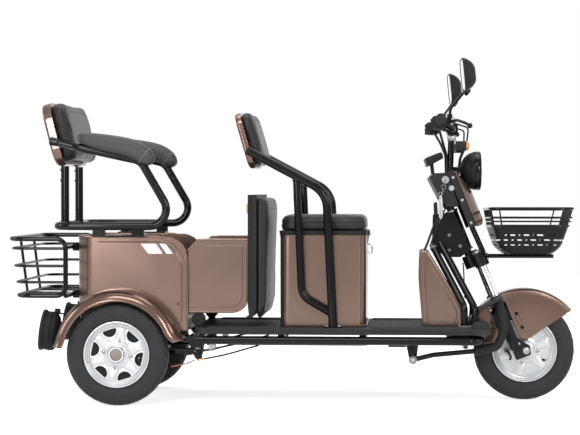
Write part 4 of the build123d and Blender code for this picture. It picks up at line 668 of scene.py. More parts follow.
wires.tube(basket_loop(696, 148, 160, top_mid, 40), 5.2, 12, closed=True)
wires.tube(basket_loop(664, 145, 157, top_mid, 40), 3.6, 10, closed=True)
wires.tube(basket_loop(650, 141.5, 155, top_mid, 40), 3.0, 10, closed=True)
for k in range(7):
    t = -1 + k / 3
    for s in (-1, 1):
        wires.tube([(top_mid + s * 148, t * 118, 696), (mid + s * 133, t * 110, 632)], 2.6, 8)
for sx in (-1, 1):
    for sy in (-1, 1):
        wires.tube([(top_mid + sx * 118, sy * 160, 696), (mid + sx * 104, sy * 144.5, 632)], 2.8, 8)
wires.tube(basket_loop(634, 136, 156, mid, 34), 4.6, 10, closed=True)
draft = math.tan(math.radians(17.5))
levels = [531.6, 532.6, 534.5, 537.5, 541, 547, 553] + [560 + 11 * k for k in range(8)]
for z in (632,):
    half_x, half_y = 103 + (z - 531.3) * draft, 126 + (z - 531.3) * draft
    wires.tube(basket_loop(z, half_x + 0.8, half_y + 0.8, mid, 32), 2.6, 8, closed=True)
shell = Shape()
loops = []
for z in levels:
    tuck = 26 * max(0.0, 1 - (z - 531.6) / 46) ** 2.4
    half_x, half_y = 103 + (z - 531.3) * draft + 0.5 - tuck, 126 + (z - 531.3) * draft + 0.5 - tuck * 0.5
    loops.append(basket_loop(z, half_x, half_y, mid, 32))
floor_steps = [[Vector((mid + (p.x - mid) * t, p.y * t, 531.6)) for p in loops[0]] for t in (0.02, 0.4, 0.75, 0.97)]
shell.rings(floor_steps + loops, caps=False)
cross, along = Shape(), Shape()
for z, count in ((600, 4), (582, 5), (564, 4)):
    for k in range(count):
        c = (k - (count - 1) / 2) * 50
        oval = [(15 * math.copysign(1, math.cos(t)) + 3.6 * math.cos(t), 3.6 * math.sin(t))
                for t in [math.tau * (j + 0.5) / 16 for j in range(16)]]
        cross.prism(oval, (mid + c, 220, z), X, Z, 440)
        along.prism(oval, (mid - 170, c, z), Y, Z, 340)
tub_mesh = solid(shell.mesh("tub"), 1.8)
for slots in (cross, along):
    tub_mesh = cut(tub_mesh, slots.mesh("slots"))
place(tub_mesh, "front_basket_tub", PLASTIC, "steering", 30, ("front_basket",))
wires.out("front_basket_wires", BLACK, "steering")
for side in (-1, 1):
    for x in (760, 900):
        tabs.bolt((x, side * 42, 535), Z, 4)
    tabs.tube([(934, side * 42, 524), (936, side * 42, 524)], [7.4, 6.2], 16)
tabs.out("front_basket_bolts", STEEL, "steering", bevel=0.3)

# ---------------------------------------------------------------- cowl, headlight, dash and display
trim, chrome = Shape(), Shape()
outline = [steer(a, u) for a, u in ((58, 14), (58, 222), (80, 221), (99, 188), (99, 40), (83, 14))]
for side in (-1, 1):
    line = [p + Y * side * (88.4 if (p - steer(0, 0)).dot(AHEAD_FORK) < 70 else 62) for p in outline[:2]]
    trim.tube([line[0], line[1]], 1.7, 8)
    for up in (30, 118, 206):
        chrome.bolt(steer(45, up, side * 88.1), Y * side, 3.4)
trim.out("cowl_seam", BLACK, "steering")
chrome.out("cowl_screws", STEEL, "steering", bevel=0.2)

lamp = Vector((664, 0, 835))
shade, shine, glass = Shape(), Shape(), Shape()
shade.lathe([(66, 5), (66, 8), (69, 9), (71.2, 6), (71.4, -8), (70.2, -12)], lamp, X, 72)
shade.ring(lamp - X * 13, X, 70.2, 1.4, 72)
shade.ring(lamp - X * 30, X, 65.4, 1.2, 72)
bowl = [(63 * math.sqrt(k / 10) if k else 9, -5.4 + 4.4 * k / 10) for k in range(11)]
shine.lathe(bowl, lamp, X, 72)
shine.lathe([(0, 2.6), (5, 2.2), (7.5, 0), (8.5, -4), (9, -5.4)], lamp, X, 32)
for k in range(9):
    y = (k - 4) * 13.0
    reach = math.sqrt(62.0 ** 2 - y * y)
    shine.tube([lamp + Vector((0.4, y, -reach)), lamp + Vector((0.4, y, reach))], 0.7, 6)
glass.lathe([(63.6, 0.6), (63.6, 4), (61, 6.6), (50, 7.6), (30, 8.4), (0, 8.8), (0, 7), (40, 6), (61, 3), (63.6, 0.6)],
            lamp, X, 72)
shade.out("headlight_rim", BLACK, "steering")
shine.out("headlight_reflector", CHROME, "steering")
glass.out("headlight_glass", CLEAR, "steering", replaces=("headlight_lens",))

panel, keys, fob, light = Shape(), Shape(), Shape(), Shape()
u = Vector((61, 0, 24)).normalized()
v = Vector((-24, 0, 61)).normalized()
corner = Vector((468, 0, 878))
for inset, lift, shape in ((4, 0.7, panel), (10, 1.2, light)):
    a, b = inset, 65.5 - inset
    w = 56 - inset
    loop = [corner + u * s + v * lift * 0.6 + Y * t for s, t in ((a, -w), (b, -w), (b, w), (a, w))]
    loop = round_off(loop, 7, 4, closed=True)
    shape.rings([loop, [p + v * lift for p in loop]])
for k in range(3):
    light.tube([corner + u * (22 + 11 * k) + v * 2 + Y * -34, corner + u * (22 + 11 * k) + v * 2 + Y * (10 - 8 * k)],
               1.0, 6)
panel.out("display_frame", GREY, "steering", bevel=0.3)
light.out("display_screen", SCREEN, "steering", bevel=0.3)

lock = Vector((540, -94.2, 800))
keys.ring(lock + Y * 0.6, Y, 9.4, 1.0, 32)
keys.lathe([(0, 0.6), (7.4, 0.6), (8, 0)], lock, -Y, 24)
keys.prism([(-1.2, -7), (1.2, -7), (1.2, 7), (-1.2, 7)], lock - Y * 1, X, Z, 9)
keys.ring(Vector((562, -94, 770)), Y, 8, 0.9, 28)
keys.ring(lock + Vector((-1, -11.5, -9)), X, 9, 0.9, 24)
keys.ring(lock + Vector((-7, -12, -26)), Y, 8, 0.7, 28)
links = [lock + Vector((-9 - 2.2 * k, -12, -40 - 5.2 * k)) for k in range(7)]
for k, p in enumerate(links):
    keys.ring(p, X if k % 2 else Y, 3.1, 0.8, 14, 6)
keys.ring(Vector((521, -106, 750)), Y, 6, 0.9, 20)
fob.rings([[p + Y * d for p in round_off([(496, 0, 716), (509, 0, 722), (512, 0, 676), (498, 0, 670)], 5, 4, True)]
           for d in (-110, -101)])
blade = Shape()
loop = round_off([(516, 0, 742), (526, 0, 742), (529, 0, 716), (530, 0, 668), (522, 0, 654), (515, 0, 668)], 5, 4, True)
blade.rings([[p + Y * d for p in loop] for d in (-108, -104)])
keys.out("ignition_keys", STEEL, "steering")
fob.out("key_fob", PLASTIC, "steering", bevel=1)
blade.out("spare_key", STEEL, "steering", bevel=0.8)

# ---------------------------------------------------------------- handlebar, mirrors and turn signals
GRIP = Vector((12, 204, 0)).normalized()
ribs, chrome, soft, glass = Shape(), Shape(), Shape(), Shape()
amber, balls = Shape(), Shape()
for side in (-1, 1):
    axis = Vector((GRIP.x * -1, GRIP.y * side, 0)).normalized()
    root = Vector((521, side * 122, 1006))
    for k in range(21):
        soft.ring(root + axis * (94 + 5.1 * k), axis, 16.0, 1.5, 28, 6)
    soft.lathe([(18, 206), (19.5, 208), (19.5, 210.5), (17, 212), (0, 212.4)], root, axis, 32)
    ribs.lathe([(17, 82), (22.5, 83), (23.5, 87), (23.5, 92), (19, 94), (16, 94)], root, axis, 32)
    for k, (du, dz) in enumerate(((-34, 4), (-34, -12), (-33, -24))):
        ribs.tube([root + axis * (58 + 5 * k) + Vector((du + 4, 0, dz)), root + axis * (58 + 5 * k) +
                   Vector((du - 3, 0, dz))], [5.5, 4.6], 14)
    chrome.ring(Vector((563 - 0.6, side * 156, 1018)), Z, 8.5, 2.2, 24)
    chrome.bolt(Vector((551, side * 156, 1020)), Z, 4)
    chrome.bolt(Vector((546, side * 156, 1006)), X, 4)
    loop = []
    tilt = Vector((-1, 0, -0.1)).normalized()
    rise = Vector((-0.1, 0, 1)).normalized()
    face = Vector((604 - 17.4, side * 322, 1158)) + tilt * 0.6
    rim_line = round_off([face + Y * 72 + rise * 55, face + Y * 72 - rise * 55, face - Y * 72 - rise * 55,
                          face - Y * 72 + rise * 55], 36, 8, True)
    ribs.tube(rim_line, 3.4, 8, closed=True)
    pane = [face + (p - face) * 0.955 + tilt * 0.4 for p in rim_line]
    glass.rings([pane, [p + tilt * 1.4 for p in pane]])
    ball = Vector((601, side * 293, 1108))
    balls.lathe([(0, 14), (8, 12), (12.5, 6), (14, 0), (12.5, -6), (9, -10), (7, -15), (5.4, -18)], ball,
                Vector((0.1, side * 0.5, 1)), 32)
    stalk = Vector((575, side * 108, 922))
    for k in range(3):
        ribs.ring(stalk + X * (4 + 6 * k), X, 17.4, 0.9, 28, 6)
    dome = [(16.6, 0), (17.2, 3), (16, 8), (12, 12), (6, 14), (0, 14.6)]
    amber.lathe(dome, stalk + X * 36, X, 32)
ribs.out("handlebar_rings", PLASTIC, "steering", bevel=0.3)
soft.out("grip_ribs", RUBBER, "steering")
chrome.out("mirror_clamps", CHROME, "steering")
glass.out("mirror_glass", GLASS_MIRROR, "steering")
balls.out("mirror_joints", BLACK, "steering")
amber.out("front_turn_lenses", AMBER, "steering")
clamp = Shape()
for dx in (-13, 13):
    for dy in (-17, 17):
        clamp.bolt(Vector((570 + dx, dy, 1005)), Z, 4)
clamp.lathe([(15.5, 0), (16.5, 2), (16.5, 18), (15.5, 20), (12.2, 20)], Vector((569, 0, 945)), Z, 32)
clamp.out("handlebar_clamp_bolts", STEEL, "steering", bevel=0.3)

# ---------------------------------------------------------------- leg shield, front frame and floor
trim, bead, caps, loom = Shape(), Shape(), Shape(), Shape()
for side in (-1, 1):
    y = side * 124.6
    flange = [(478, 541), (602, 340), (604, 302), (594, 276)]
    trim.tube(round_off(xz(flange, side * 121), 26), 5.2, 12)
    trim.tube(round_off(xz([(456, 541), (452, 440), (466, 276)], side * 121), 30), 4.6, 12)
    trim.tube(round_off(xz([(456, 541), (478, 541)], side * 121), 4), 4.8, 12)
    bead.tube(round_off(xz([(474, 512), (470, 440), (482, 284)], y), 40), 2.0, 8)
    inner = [(482, 284), (572, 284), (586, 304), (585, 332), (482, 506)]
    bead.tube(round_off(xz(inner, y), 22, closed=False), 1.5, 8)
    caps.lathe([(0, 7), (8, 6.5), (12, 4), (13.6, 0), (13.6, -6)], Vector((502, side * 33, 555)),
               Vector((-0.42, side * -0.42, 0.8)), 32)
    caps.lathe([(14.5, 0), (20, 0), (21, 2), (21, 5), (14.5, 6)], Vector((612, side * 146, 273.4)), Z, 32)
    caps.lathe([(14.5, 0), (20, 0), (21, 2), (21, 5), (14.5, 6)], Vector((645, side * 146, 273.4)), Z, 32)
    for x, z in ((520, 650), (560, 600), (600, 560), (560, 545)):
        caps.bolt(Vector((x, side * 26.2, z)), Y * side, 4.4)
trim.out("leg_shield_flange", BRONZE, "chassis")
bead.out("leg_shield_beads", BRONZE, "chassis")
caps.out("frame_plugs", GREY, "chassis", bevel=0.3)
head = Shape()
for up in (-60, 90):
    head.lathe([(21, up), (23.8, up + 1), (23.8, up + 7), (21.3, up + 8)], steer(0, 0), UP_FORK, 48)
head.out("head_tube_cups", STEEL, "chassis")
loom.tube(round_off([(538, -30, 690), (505, -36, 640), (482, -48, 575), (470, -66, 548)], 30, 8), 4.4, 10)
loom.tube(round_off([(548, -24, 700), (520, -40, 652), (505, -44, 604), (490, -44, 560)], 24, 8), 3.0, 10)
loom.tube(round_off([(610, -34, 500), (612, -42, 470), (614, -52, 420), (616, -60, 372)], 30, 8), 2.4, 8)
loom.out("head_tube_loom", RUBBER, "chassis")

tread, lines, humps = Shape(), Shape(), Shape()
for k in range(9):
    y = 176 + 9 * k
    for side in (-1, 1):
        tread.tube([Vector((276, side * y, 274.6)), Vector((580 if y < 168 else 620, side * y, 274.6))], 2.4, 6)
        tread.tube([Vector((-300, side * y, 274.6)), Vector((-64, side * y, 274.6))], 2.4, 6)
for k in range(12):
    x = 290 + 13.5 * k
    tread.tube([Vector((x, -150, 274.4)), Vector((x, 150, 274.4))], 2.2, 6)
rim_line = round_off([(-351.6, -258, 0), (706, -258, 0), (706, 258, 0), (-351.6, 258, 0)], 44, 8, closed=True)
for z, r in ((256.4, 1.8), (262.6, 1.6), (270.6, 2.4)):
    keep = [p for p in rim_line]
    lines.tube([Vector((-306, -258.2, z)), Vector((640, -258.2, z))], r, 8)
    lines.tube([Vector((-306, 258.2, z)), Vector((640, 258.2, z))], r, 8)
for side in (-1, 1):
    for k in range(5):
        y = side * (180 + 11 * k)
        humps.tube(round_off([(634, y, 280), (648, y, 293.4), (668, y, 298.4), (690, y, 295.4), (699, y, 284)], 10),
                   2.0, 8)
tread.out("floor_tread", RUBBER, "chassis")
lines.out("floor_edge_grooves", RUBBER, "chassis")
humps.out("floor_hump_ribs", RUBBER, "chassis")

pedal, pads = Shape(), Shape()
path = round_off([(655, -172, 191), (728, -172, 206), (752, -172, 264), (733, -172, 366)], 38, 14)
total = [0.0]
for a, b in zip(path, path[1:]):
    total.append(total[-1] + (b - a).length)
count = int(total[-1] / 5.5)
for k in range(count + 1):
    at = total[-1] * k / count
    i = max(j for j in range(len(path) - 1) if total[j] <= at + 1e-6)
    t = (at - total[i]) / max(1e-6, total[i + 1] - total[i])
    p = path[i].lerp(path[i + 1], t)
    pedal.ring(p, path[i + 1] - path[i], 15.2, 1.3, 24, 6)
pedal.ring(path[0], path[1] - path[0], 15.6, 2.6, 28, 8)
plate_dir = Vector((76, 0, 44)).normalized()
lift = Vector((-44, 0, 76)).normalized()
for k in range(9):
    p = Vector((672, 0, 343)) + plate_dir * 9 * k + lift * 4.2
    pads.tube([p + Y * -214, p + Y * -136], 2.2, 8)
pedal.out("pedal_sleeve_ribs", RUBBER, "chassis")
pads.out("pedal_tread", RUBBER, "chassis")
pivot = Shape()
for y in (-187, -121):
    pivot.bolt(Vector((428, y, 158)), Y if y > -150 else -Y, 6.5)
pivot.ring(Vector((428, -184.4, 158)), Y, 13, 2.2, 28)
pivot.out("pedal_pivot_bolts", STEEL, "chassis", bevel=0.3)

# ---------------------------------------------------------------- driver's seat box and arm frame
seams, bolts, caps, hook = Shape(), Shape(), Shape(), Shape()
for side in (-1, 1):
    for x in (-33, 244):
        seams.tube([Vector((x, side * 165.1, 284)), Vector((x, side * 165.1, 600))], 0.9, 6)
outline = round_off([(-49.8, -165, 0), (260.8, -165, 0), (260.8, 165, 0), (-49.8, 165, 0)], 34, 8, True)
for z, r in ((279, 2.6), (600.5, 2.4)):
    seams.tube([p + Z * z for p in outline], r, 8, closed=True)
seams.out("driver_seat_box_beads", BRONZE, "chassis")
lid = round_off([(-52, -167, 0), (263, -167, 0), (263, 167, 0), (-52, 167, 0)], 34, 8, True)
lips = Shape()
for z, r in ((606.4, 1.8), (616, 2.2)):
    lips.tube([p + Z * z for p in lid], r, 8, closed=True)
lips.out("seat_lid_lips", PLASTIC, "seat_lid")
hook.tube(round_off([(262.8, 0, 566), (276, 0, 566), (280, 0, 540), (272, 0, 528), (266, 0, 540)], 8, 6), 2.6, 10)
hook.bolt(Vector((261.4, 0, 574)), X, 4)
hook.out("bag_hook", CHROME, "chassis")
for side in (-1, 1):
    y = side * 194
    caps.lathe([(15.7, -3), (16.6, -2), (16.6, 2), (14.5, 5), (8, 6.6), (0, 7)], Vector((-161, y, 906)),
               Vector((-0.8829, 0, 0.4698)), 32)
    for dx in (-22, 22):
        bolts.bolt(Vector((143 + dx, y, 278)), Z, 5)
    bolts.bolt(Vector((118, side * 166, 334)), Y * side, 5)
    caps.ring(Vector((13.4, y, 800)), Vector((0.04, 0, -1)), 14.2, 3, 32)
caps.out("arm_frame_caps", PLASTIC, "chassis")
bolts.out("arm_frame_bolts", STEEL, "chassis", bevel=0.3)

# ---------------------------------------------------------------- rear box, fenders and stripes
beads, stripes, trim = Shape(), Shape(), Shape()
for side in (-1, 1):
    y = side * 232.3
    beads.tube(round_off(xz([(-700, 579), (-450, 579), (-396, 520), (-396, 292)], y), 44, 10), 2.3, 8)
    rim = [(-717, 598), (-454, 598), (-376, 520), (-376, 264)]
    beads.tube(round_off(xz(rim, side * 229.5), 46, 12), 4.0, 10)
    for x0, x1, x2, x3 in ((-543, -489, -465, -516), (-476, -455, -429, -450)):
        band = [(x0, 573), (x1, 573), (x2, 538), (x3, 538)]
        stripes.plate(band, side * 232.2, side * 232.9)
    beads.tube(round_off(xz([(-770, 300), (-770, 262), (-560, 262)], side * 228), 14), 3.0, 8)
back_line = round_off([(-717, -229.5, 598), (-774.5, -229.5, 598), (-774.5, 229.5, 598), (-717, 229.5, 598)], 58, 12)
beads.tube(back_line, 4.0, 10)
beads.out("rear_box_beads", BRONZE, "chassis")
stripes.out("rear_box_stripes", WHITE, "chassis")

for side in (-1, 1):
    skin, lip = Shape(), Shape()
    hub = Vector((-618, 0, 183))
    section = [(229.2, 232.6), (229.4, 262), (229.2, 284), (228, 298), (224.5, 311), (218, 322), (209, 330),
               (199, 334.6), (191, 335.8)]
    rows = []
    for k in range(97):
        angle = 13 + 160 * k / 96
        flare = max(0.0, (24 - angle) / 11) ** 2 * 16 + max(0.0, (angle - 166) / 7) ** 2 * 5
        d = Vector((math.cos(math.radians(angle)), 0, math.sin(math.radians(angle))))
        rows.append([hub + d * (r + flare) + Y * side * a for r, a in section])
    skin.grid(rows)
    mesh = solid(skin.mesh("fender"), 2.6)
    side_name = "right" if side < 0 else "left"
    place(mesh, "rear_fender_" + side_name, BRONZE, "chassis", 50, ("rear_fenders",) if side < 0 else ())
    lip.tube([row[-1] - Y * side * 1.2 for row in rows], 2.6, 8)
    lip.tube([p - (p - hub).normalized() * 1 for p in rows[0]], 2.4, 8)
    lip.tube([p - (p - hub).normalized() * 1 for p in rows[-1]], 2.4, 8)
    lip.out("rear_fender_lip_" + side_name, BRONZE, "chassis")
    for angle in (40, 70, 110, 140):
        d = Vector((math.cos(math.radians(angle)), 0, math.sin(math.radians(angle))))
        trim.bolt(hub + d * 222 + Y * side * 233, Y * side, 3.2)
trim.out("rear_fender_screws", PLASTIC, "chassis", bevel=0.2)

# ---------------------------------------------------------------- bench tub
rims, plate_trim, parts = Shape(), Shape(), Shape()
for side in (-1, 1):
    y = side * 220.2
    edge_line = [(-162, 588), (-340, 588), (-375, 550), (-375, 400)]
    rims.tube(round_off(xz(edge_line, side * 218), 40, 8), 4.2, 10)
    rims.tube(round_off(xz([(-162, 588), (-162, 329), (-392, 329)], side * 218), 64, 12), 4.2, 10)
    inner = [(-180, 566), (-180, 347), (-366, 347)]
    rims.tube(round_off(xz(inner, y), 50, 12), 1.6, 8)
    rims.tube(round_off(xz([(-180, 566), (-330, 566), (-362, 536)], y), 12, 6), 1.6, 8)
rims.out("bench_tub_beads", BRONZE, "bench")
for side in (-1, 1):
    plate_trim.tube(round_off(xz([(-131, 744), (-131, 344), (-144, 316), (-168, 308)], side * 226.5), 26, 8), 2.4, 8)
plate_trim.tube([Vector((-131, -226, 746)), Vector((-131, 226, 746))], 2.4, 8)
plate_trim.out("bench_plate_edges", PLASTIC, "bench")
x = -156
parts.tube(round_off([(x, 0, 680), (x - 26, 0, 680), (x - 26, 0, 714), (x, 0, 714)], 7, 6), 3.9, 12)
for z in (668, 726):
    parts.bolt(Vector((-160.6, 0, z)), -X, 4)
parts.out("bench_striker", BRASS, "bench")
for side in (-1, 1):
    rest = Shape()
    disc = Vector((-338, side * 224.5, 302.7))
    rest.ring(disc, Y, 20.5, 2.4, 36)
    rest.ring(disc, Y, 12.5, 1.6, 30)
    rest.bolt(disc - Y * side * 0.6, Y * side, 5)
    rest.out("bench_rest_disc_" + ("right" if side < 0 else "left"), PLASTIC, "chassis", bevel=0.2)
    pins = Shape()
    pins.bolt(Vector((-405, side * 237.2, 362)), Y * side, 5)
    pins.out("bench_pin_" + ("right" if side < 0 else "left"), BRONZE_PAINTED_SHADE, "chassis", bevel=0.3)

# ---------------------------------------------------------------- armrest frame bolts and welds
bolts, welds = Shape(), Shape()
for side in (-1, 1):
    for dx in (-70, 70):
        bolts.bolt(Vector((-612 + dx, side * 262, 605.4)), Z, 5)
    for z in (800, 838):
        bolts.bolt(Vector((-850.6, side * 135, z)), -X, 3.6)
    welds.ring(Vector((-836, side * 135, 652)), Z, 14.6, 2.4, 32)
    welds.lathe([(14.6, -2), (15.8, -1), (15.8, 3), (13, 6), (0, 7)], Vector((-861, side * 252.8, 939)),
                Vector((-1, 0, 0.2)), 28)
bolts.out("armrest_frame_bolts", BLACK, "chassis", bevel=0.3)
welds.out("armrest_frame_welds", BLACK, "chassis")

# ---------------------------------------------------------------- rear basket and tail lamps
caps, glow, band, bulbs, back = Shape(), Shape(), Shape(), Shape(), Shape()
tilt = math.radians(8)
out_dir = Vector((-math.cos(tilt), 0, math.sin(tilt)))
up_dir = Vector((math.sin(tilt), 0, math.cos(tilt)))
for side in (-1, 1):
    foot = Vector((-866, side * 210, 256))

    def oval(a, b, lift, n=56):
        """An ellipse at a height above the lamp's back."""
        return [foot + Y * math.cos(math.tau * k / n) * a + up_dir * math.sin(math.tau * k / n) * b +
                out_dir * lift for k in range(n)]
    caps.tube(oval(45.6, 71.6, 39.6), 2.8, 8, closed=True)
    caps.tube(oval(46.4, 72.4, 31.5), 2.0, 8, closed=True)
    caps.tube(oval(44.6, 70.6, 6), 1.6, 8, closed=True)
    steps = [(42.6, 68.6, 34.6), (42.4, 68.4, 38.6), (40.5, 66, 41.4), (36, 60.5, 42.4), (35, 59.4, 41.4)]
    steps += [(30, 53, 43), (29, 51.8, 42), (22, 43, 43.8), (21, 41.8, 42.8), (12, 30, 44.4), (2, 10, 44.6)]
    glow.rings([oval(*step) for step in steps])
    dome = [(44, 70, 3), (43.6, 69.4, -5), (40, 64, -13), (32, 53, -20), (20, 36, -25), (8, 16, -27), (1, 2, -27.4)]
    back.rings([oval(*step) for step in dome])
    for k in range(-2, 3):
        w = 40 * math.sqrt(max(0.05, 1 - ((k * 12) / 66) ** 2))
        band.tube([foot + out_dir * 43.2 + up_dir * (k * 4) + Y * -w * 0.9, foot + out_dir * 43.2 + up_dir * (k * 4) +
                   Y * w * 0.9], 1.9, 8)
    caps.bolt(Vector((-858, side * 169.5, 271)), -Y * side, 4)
    caps.bolt(Vector((-776.5, side * 171, 318)), -X, 4)
    bulbs.tube([Vector((-857, side * 213, 330)), Vector((-839, side * 213, 330))], [9, 7.5], 20)
    bulbs.tube([Vector((-848, side * 213, 318)), Vector((-848, side * 213, 330))], 4, 10)
    bulbs.tube(round_off([(-848, side * 213, 322), (-820, side * 205, 318), (-784, side * 200, 314)], 14), 3, 8)
back.out("tail_lamp_backs", PLASTIC, "chassis")
caps.out("tail_lamp_bezels", BLACK, "chassis")
glow.out("tail_lamp_glass", RED, "chassis", replaces=("tail_light_lenses",))
band.out("tail_lamp_bands", AMBER, "chassis")
bulbs.out("tail_lamp_plugs", PLASTIC, "chassis", bevel=0.4)
welds = Shape()
for side in (-1, 1):
    for z in (557, 495, 437):
        welds.ring(Vector((-803.5, side * 291.5, z)), Z, 8.7, 1.5, 20)
    for z in (389, 560):
        welds.bolt(Vector((-786, side * 150, z + 7)), Z, 4.4)
    welds.ring(Vector((-803.5, side * 291.5, 560)), Y, 8.8, 1.5, 20)
welds.out("rear_basket_welds", BLACK, "chassis")

# ---------------------------------------------------------------- suspension, motor and cables
springs, damper, motor = Shape(), Shape(), Shape()
for side in (-1, 1):
    foot = Vector((-676, side * 148, 200.4))
    coil = []
    for k in range(145):
        t = k / 144
        turn = math.tau * 6 * t
        coil.append(foot + Vector((math.cos(turn) * 13.6, math.sin(turn) * 13.6, 8 + 68 * t)))
    springs.tube(coil, 2.7, 8)
    damper.lathe([(0, 0), (17, 0), (17, 5), (9, 6), (8.4, 60), (5, 60), (5, 78), (17, 79), (17, 83.6), (0, 83.6)], foot,
                 Z, 32)
    pivot = Vector((-341, side * 196, 190))
    damper.ring(pivot + Y * side * 17.6, Y, 10.5, 2.2, 28)
    damper.bolt(pivot + Y * side * 17.2, Y * side, 6.5)
    damper.bolt(Vector((-618, side * 209.4, 183)) + Vector((24, 0, 24)), Y * side, 4.4)
    motor.ring(Vector((-618, side * 216, 183)), Y, 62, 2.6, 56)
    motor.ring(Vector((-618, side * 250, 183)), Y, 60, 3, 56)
    for k in range(12):
        a = math.tau * k / 12
        motor.tube([Vector((-618 + 62 * math.cos(a), side * 218, 183 + 62 * math.sin(a))),
                    Vector((-618 + 62 * math.cos(a), side * 248, 183 + 62 * math.sin(a)))], 2.2, 6)
    block = round_off([(-300, 0, 214), (-276, 0, 214), (-276, 0, 190), (-300, 0, 190)], 4, 4, True)
    damper.rings([[p + Y * side * 219.5 for p in block], [p + Y * side * 226.5 for p in block]])
for y in (-36, -20, -4, 12, 28, 44, 60):
    motor.ring(Vector((-618, y, 183)), Y, 77.6, 2.4, 72)
for k in range(8):
    a = math.tau * (k + 0.5) / 8
    motor.bolt(Vector((-618 + 70 * math.cos(a), -40.4, 183 + 70 * math.sin(a))), -Y, 4.4)
    motor.bolt(Vector((-618 + 58 * math.cos(a), 148.6, 183 + 58 * math.sin(a))), Y, 3.6)
ends, links, copper, brass = Shape(), Shape(), Shape(), Shape()
for side in (-1, 1):
    y = side * 222
    ears = [(-360, 190), (-324, 190), (-324, 158), (-338, 152), (-352, 168)]
    ends.plate(ears, side * 217.5, side * 221.5)
    ends.tube(round_off(xz([(-316, 161.5), (-240, 176), (-160, 200), (-120, 211)], y), 40), 3.1, 10)
    links.tube(round_off(xz([(-395, 140.5), (-370, 147), (-351, 157)], y), 10), 3.2, 10)
    copper.tube(xz([(-436, 134), (-395, 140.5)], y), [4.2, 3.2], 12)
    brass.tube(xz([(-340, 156.5), (-316, 161.5)], y), 3.8, 12)
ends.out("brake_cable_ends", BLACK, "chassis", bevel=0.3)
links.out("brake_cable_links", STEEL, "chassis")
copper.out("brake_cable_rods", COPPER, "chassis")
brass.out("brake_cable_ferrules", BRASS, "chassis")
springs.out("shock_springs", CHROME, "chassis")
damper.out("shock_dampers", STEEL, "chassis", replaces=("shock_absorbers",))
motor.out("motor_ribs", BLACK, "chassis")

# ---------------------------------------------------------------- cushions, swollen by cloth simulation
SWELL_FRAMES, PIPING_POINTS = 20, 220
SEAT_LEAN, REAR_LEAN = math.radians(16), math.radians(14)
SEAM_CORNER = 40.0


def pad_shape(width, height, thick, corner, taper=0.0):
    """A block with rounded corners and edges in its own frame, its back on z = 0; it can thin towards -y."""
    shape = Shape()
    levels = [(9, 0), (3, 1.2), (0.6, 5), (0, thick * 0.3), (0, thick * 0.55), (1.6, thick * 0.76),
              (5.5, thick * 0.92), (12, thick)]
    rings = []
    for inset, z in levels:
        a, b = width / 2 - inset, height / 2 - inset
        ring = round_off([(-a, -b, z), (a, -b, z), (a, b, z), (-a, b, z)], corner - inset * 0.4, 10, True)
        rings.append(ring)
    shape.rings(rings)
    for v in shape.verts:
        low = max(0.0, (-height / 2 + 95 - v.y) / 95)
        v.z *= 1 - taper * low ** 1.6
    return shape


def remeshed(mesh, voxel):
    """The same form in even small faces."""
    def setup(passing):
        remesh = passing.modifiers.new("remesh", "REMESH")
        remesh.mode = "VOXEL"
        remesh.voxel_size = voxel * 0.001
    return applied(mesh, setup)


def swollen(mesh, cap, pressure=4.0):
    """Let a pad swell as cloth does over its filling; no point moves further than cap millimetres."""
    scene = bpy.context.scene
    pad = bpy.data.objects.new("swelling", mesh)
    scene.collection.objects.link(pad)
    before = np.empty(len(mesh.vertices) * 3)
    mesh.vertices.foreach_get("co", before)
    cloth = pad.modifiers.new("cloth", "CLOTH").settings
    cloth.quality = 4
    cloth.mass = 0.3
    cloth.tension_stiffness = 15
    cloth.compression_stiffness = 15
    cloth.bending_stiffness = 1.5
    cloth.use_pressure = True
    cloth.uniform_pressure_force = pressure
    cloth.effector_weights.gravity = 0
    for number in range(1, SWELL_FRAMES + 1):
        scene.frame_set(number)
    result = bpy.data.meshes.new_from_object(pad.evaluated_get(bpy.context.evaluated_depsgraph_get()))
    bpy.data.objects.remove(pad)
    scene.frame_set(1)
    after = np.empty(len(result.vertices) * 3)
    result.vertices.foreach_get("co", after)
    before, after = before.reshape(-1, 3), after.reshape(-1, 3)
    move = after - before
    length = np.linalg.norm(move, axis=1, keepdims=True) + 1e-9
    limit = cap * 0.001
    after = before + move / length * limit * np.tanh(length / limit)
    result.vertices.foreach_set("co", after.ravel())
    return result


def shaped(mesh, thick, seams, inset_seam=0.0):
    """Flatten a pad's back, hold it in its depth, and press its sewn seams in."""
    def setup(passing):
        passing.modifiers.new("smooth", "SUBSURF").levels = 1
    mesh = applied(mesh, setup)
    count = len(mesh.vertices)
    co = np.empty(count * 3)
    normal = np.empty(count * 3)
    mesh.vertices.foreach_get("co", co)
    mesh.vertices.foreach_get("normal", normal)
    co, normal = co.reshape(-1, 3) * 1000, normal.reshape(-1, 3)
    co[:, 2] = np.clip(co[:, 2], 0, thick)
    side = np.linalg.norm(normal[:, :2], axis=1)
    pucker = 1 + 0.3 * np.sin(co[:, 0] * 0.6) * np.sin(co[:, 1] * 0.6)
    for z, depth in seams:
        press = depth * np.exp(-(((co[:, 2] - z) / 2.6) ** 2)) * side * pucker
        co -= normal * press[:, None]
    if inset_seam:
        a, b = np.abs(co[:, 0]).max() - inset_seam, np.abs(co[:, 1]).max() - inset_seam
        off = np.maximum(np.abs(co[:, 0]) - a, np.abs(co[:, 1]) - b)
        cx, cy = np.abs(co[:, 0]) - (a - SEAM_CORNER), np.abs(co[:, 1]) - (b - SEAM_CORNER)
        off = np.where((cx > 0) & (cy > 0), np.hypot(cx, cy) - SEAM_CORNER, off)
        press = 1.7 * np.exp(-((off / 3.0) ** 2)) * np.clip(normal[:, 2], 0, 1) * pucker
        co -= normal * press[:, None]
    mesh.vertices.foreach_set("co", (co * 0.001).ravel())
    return mesh


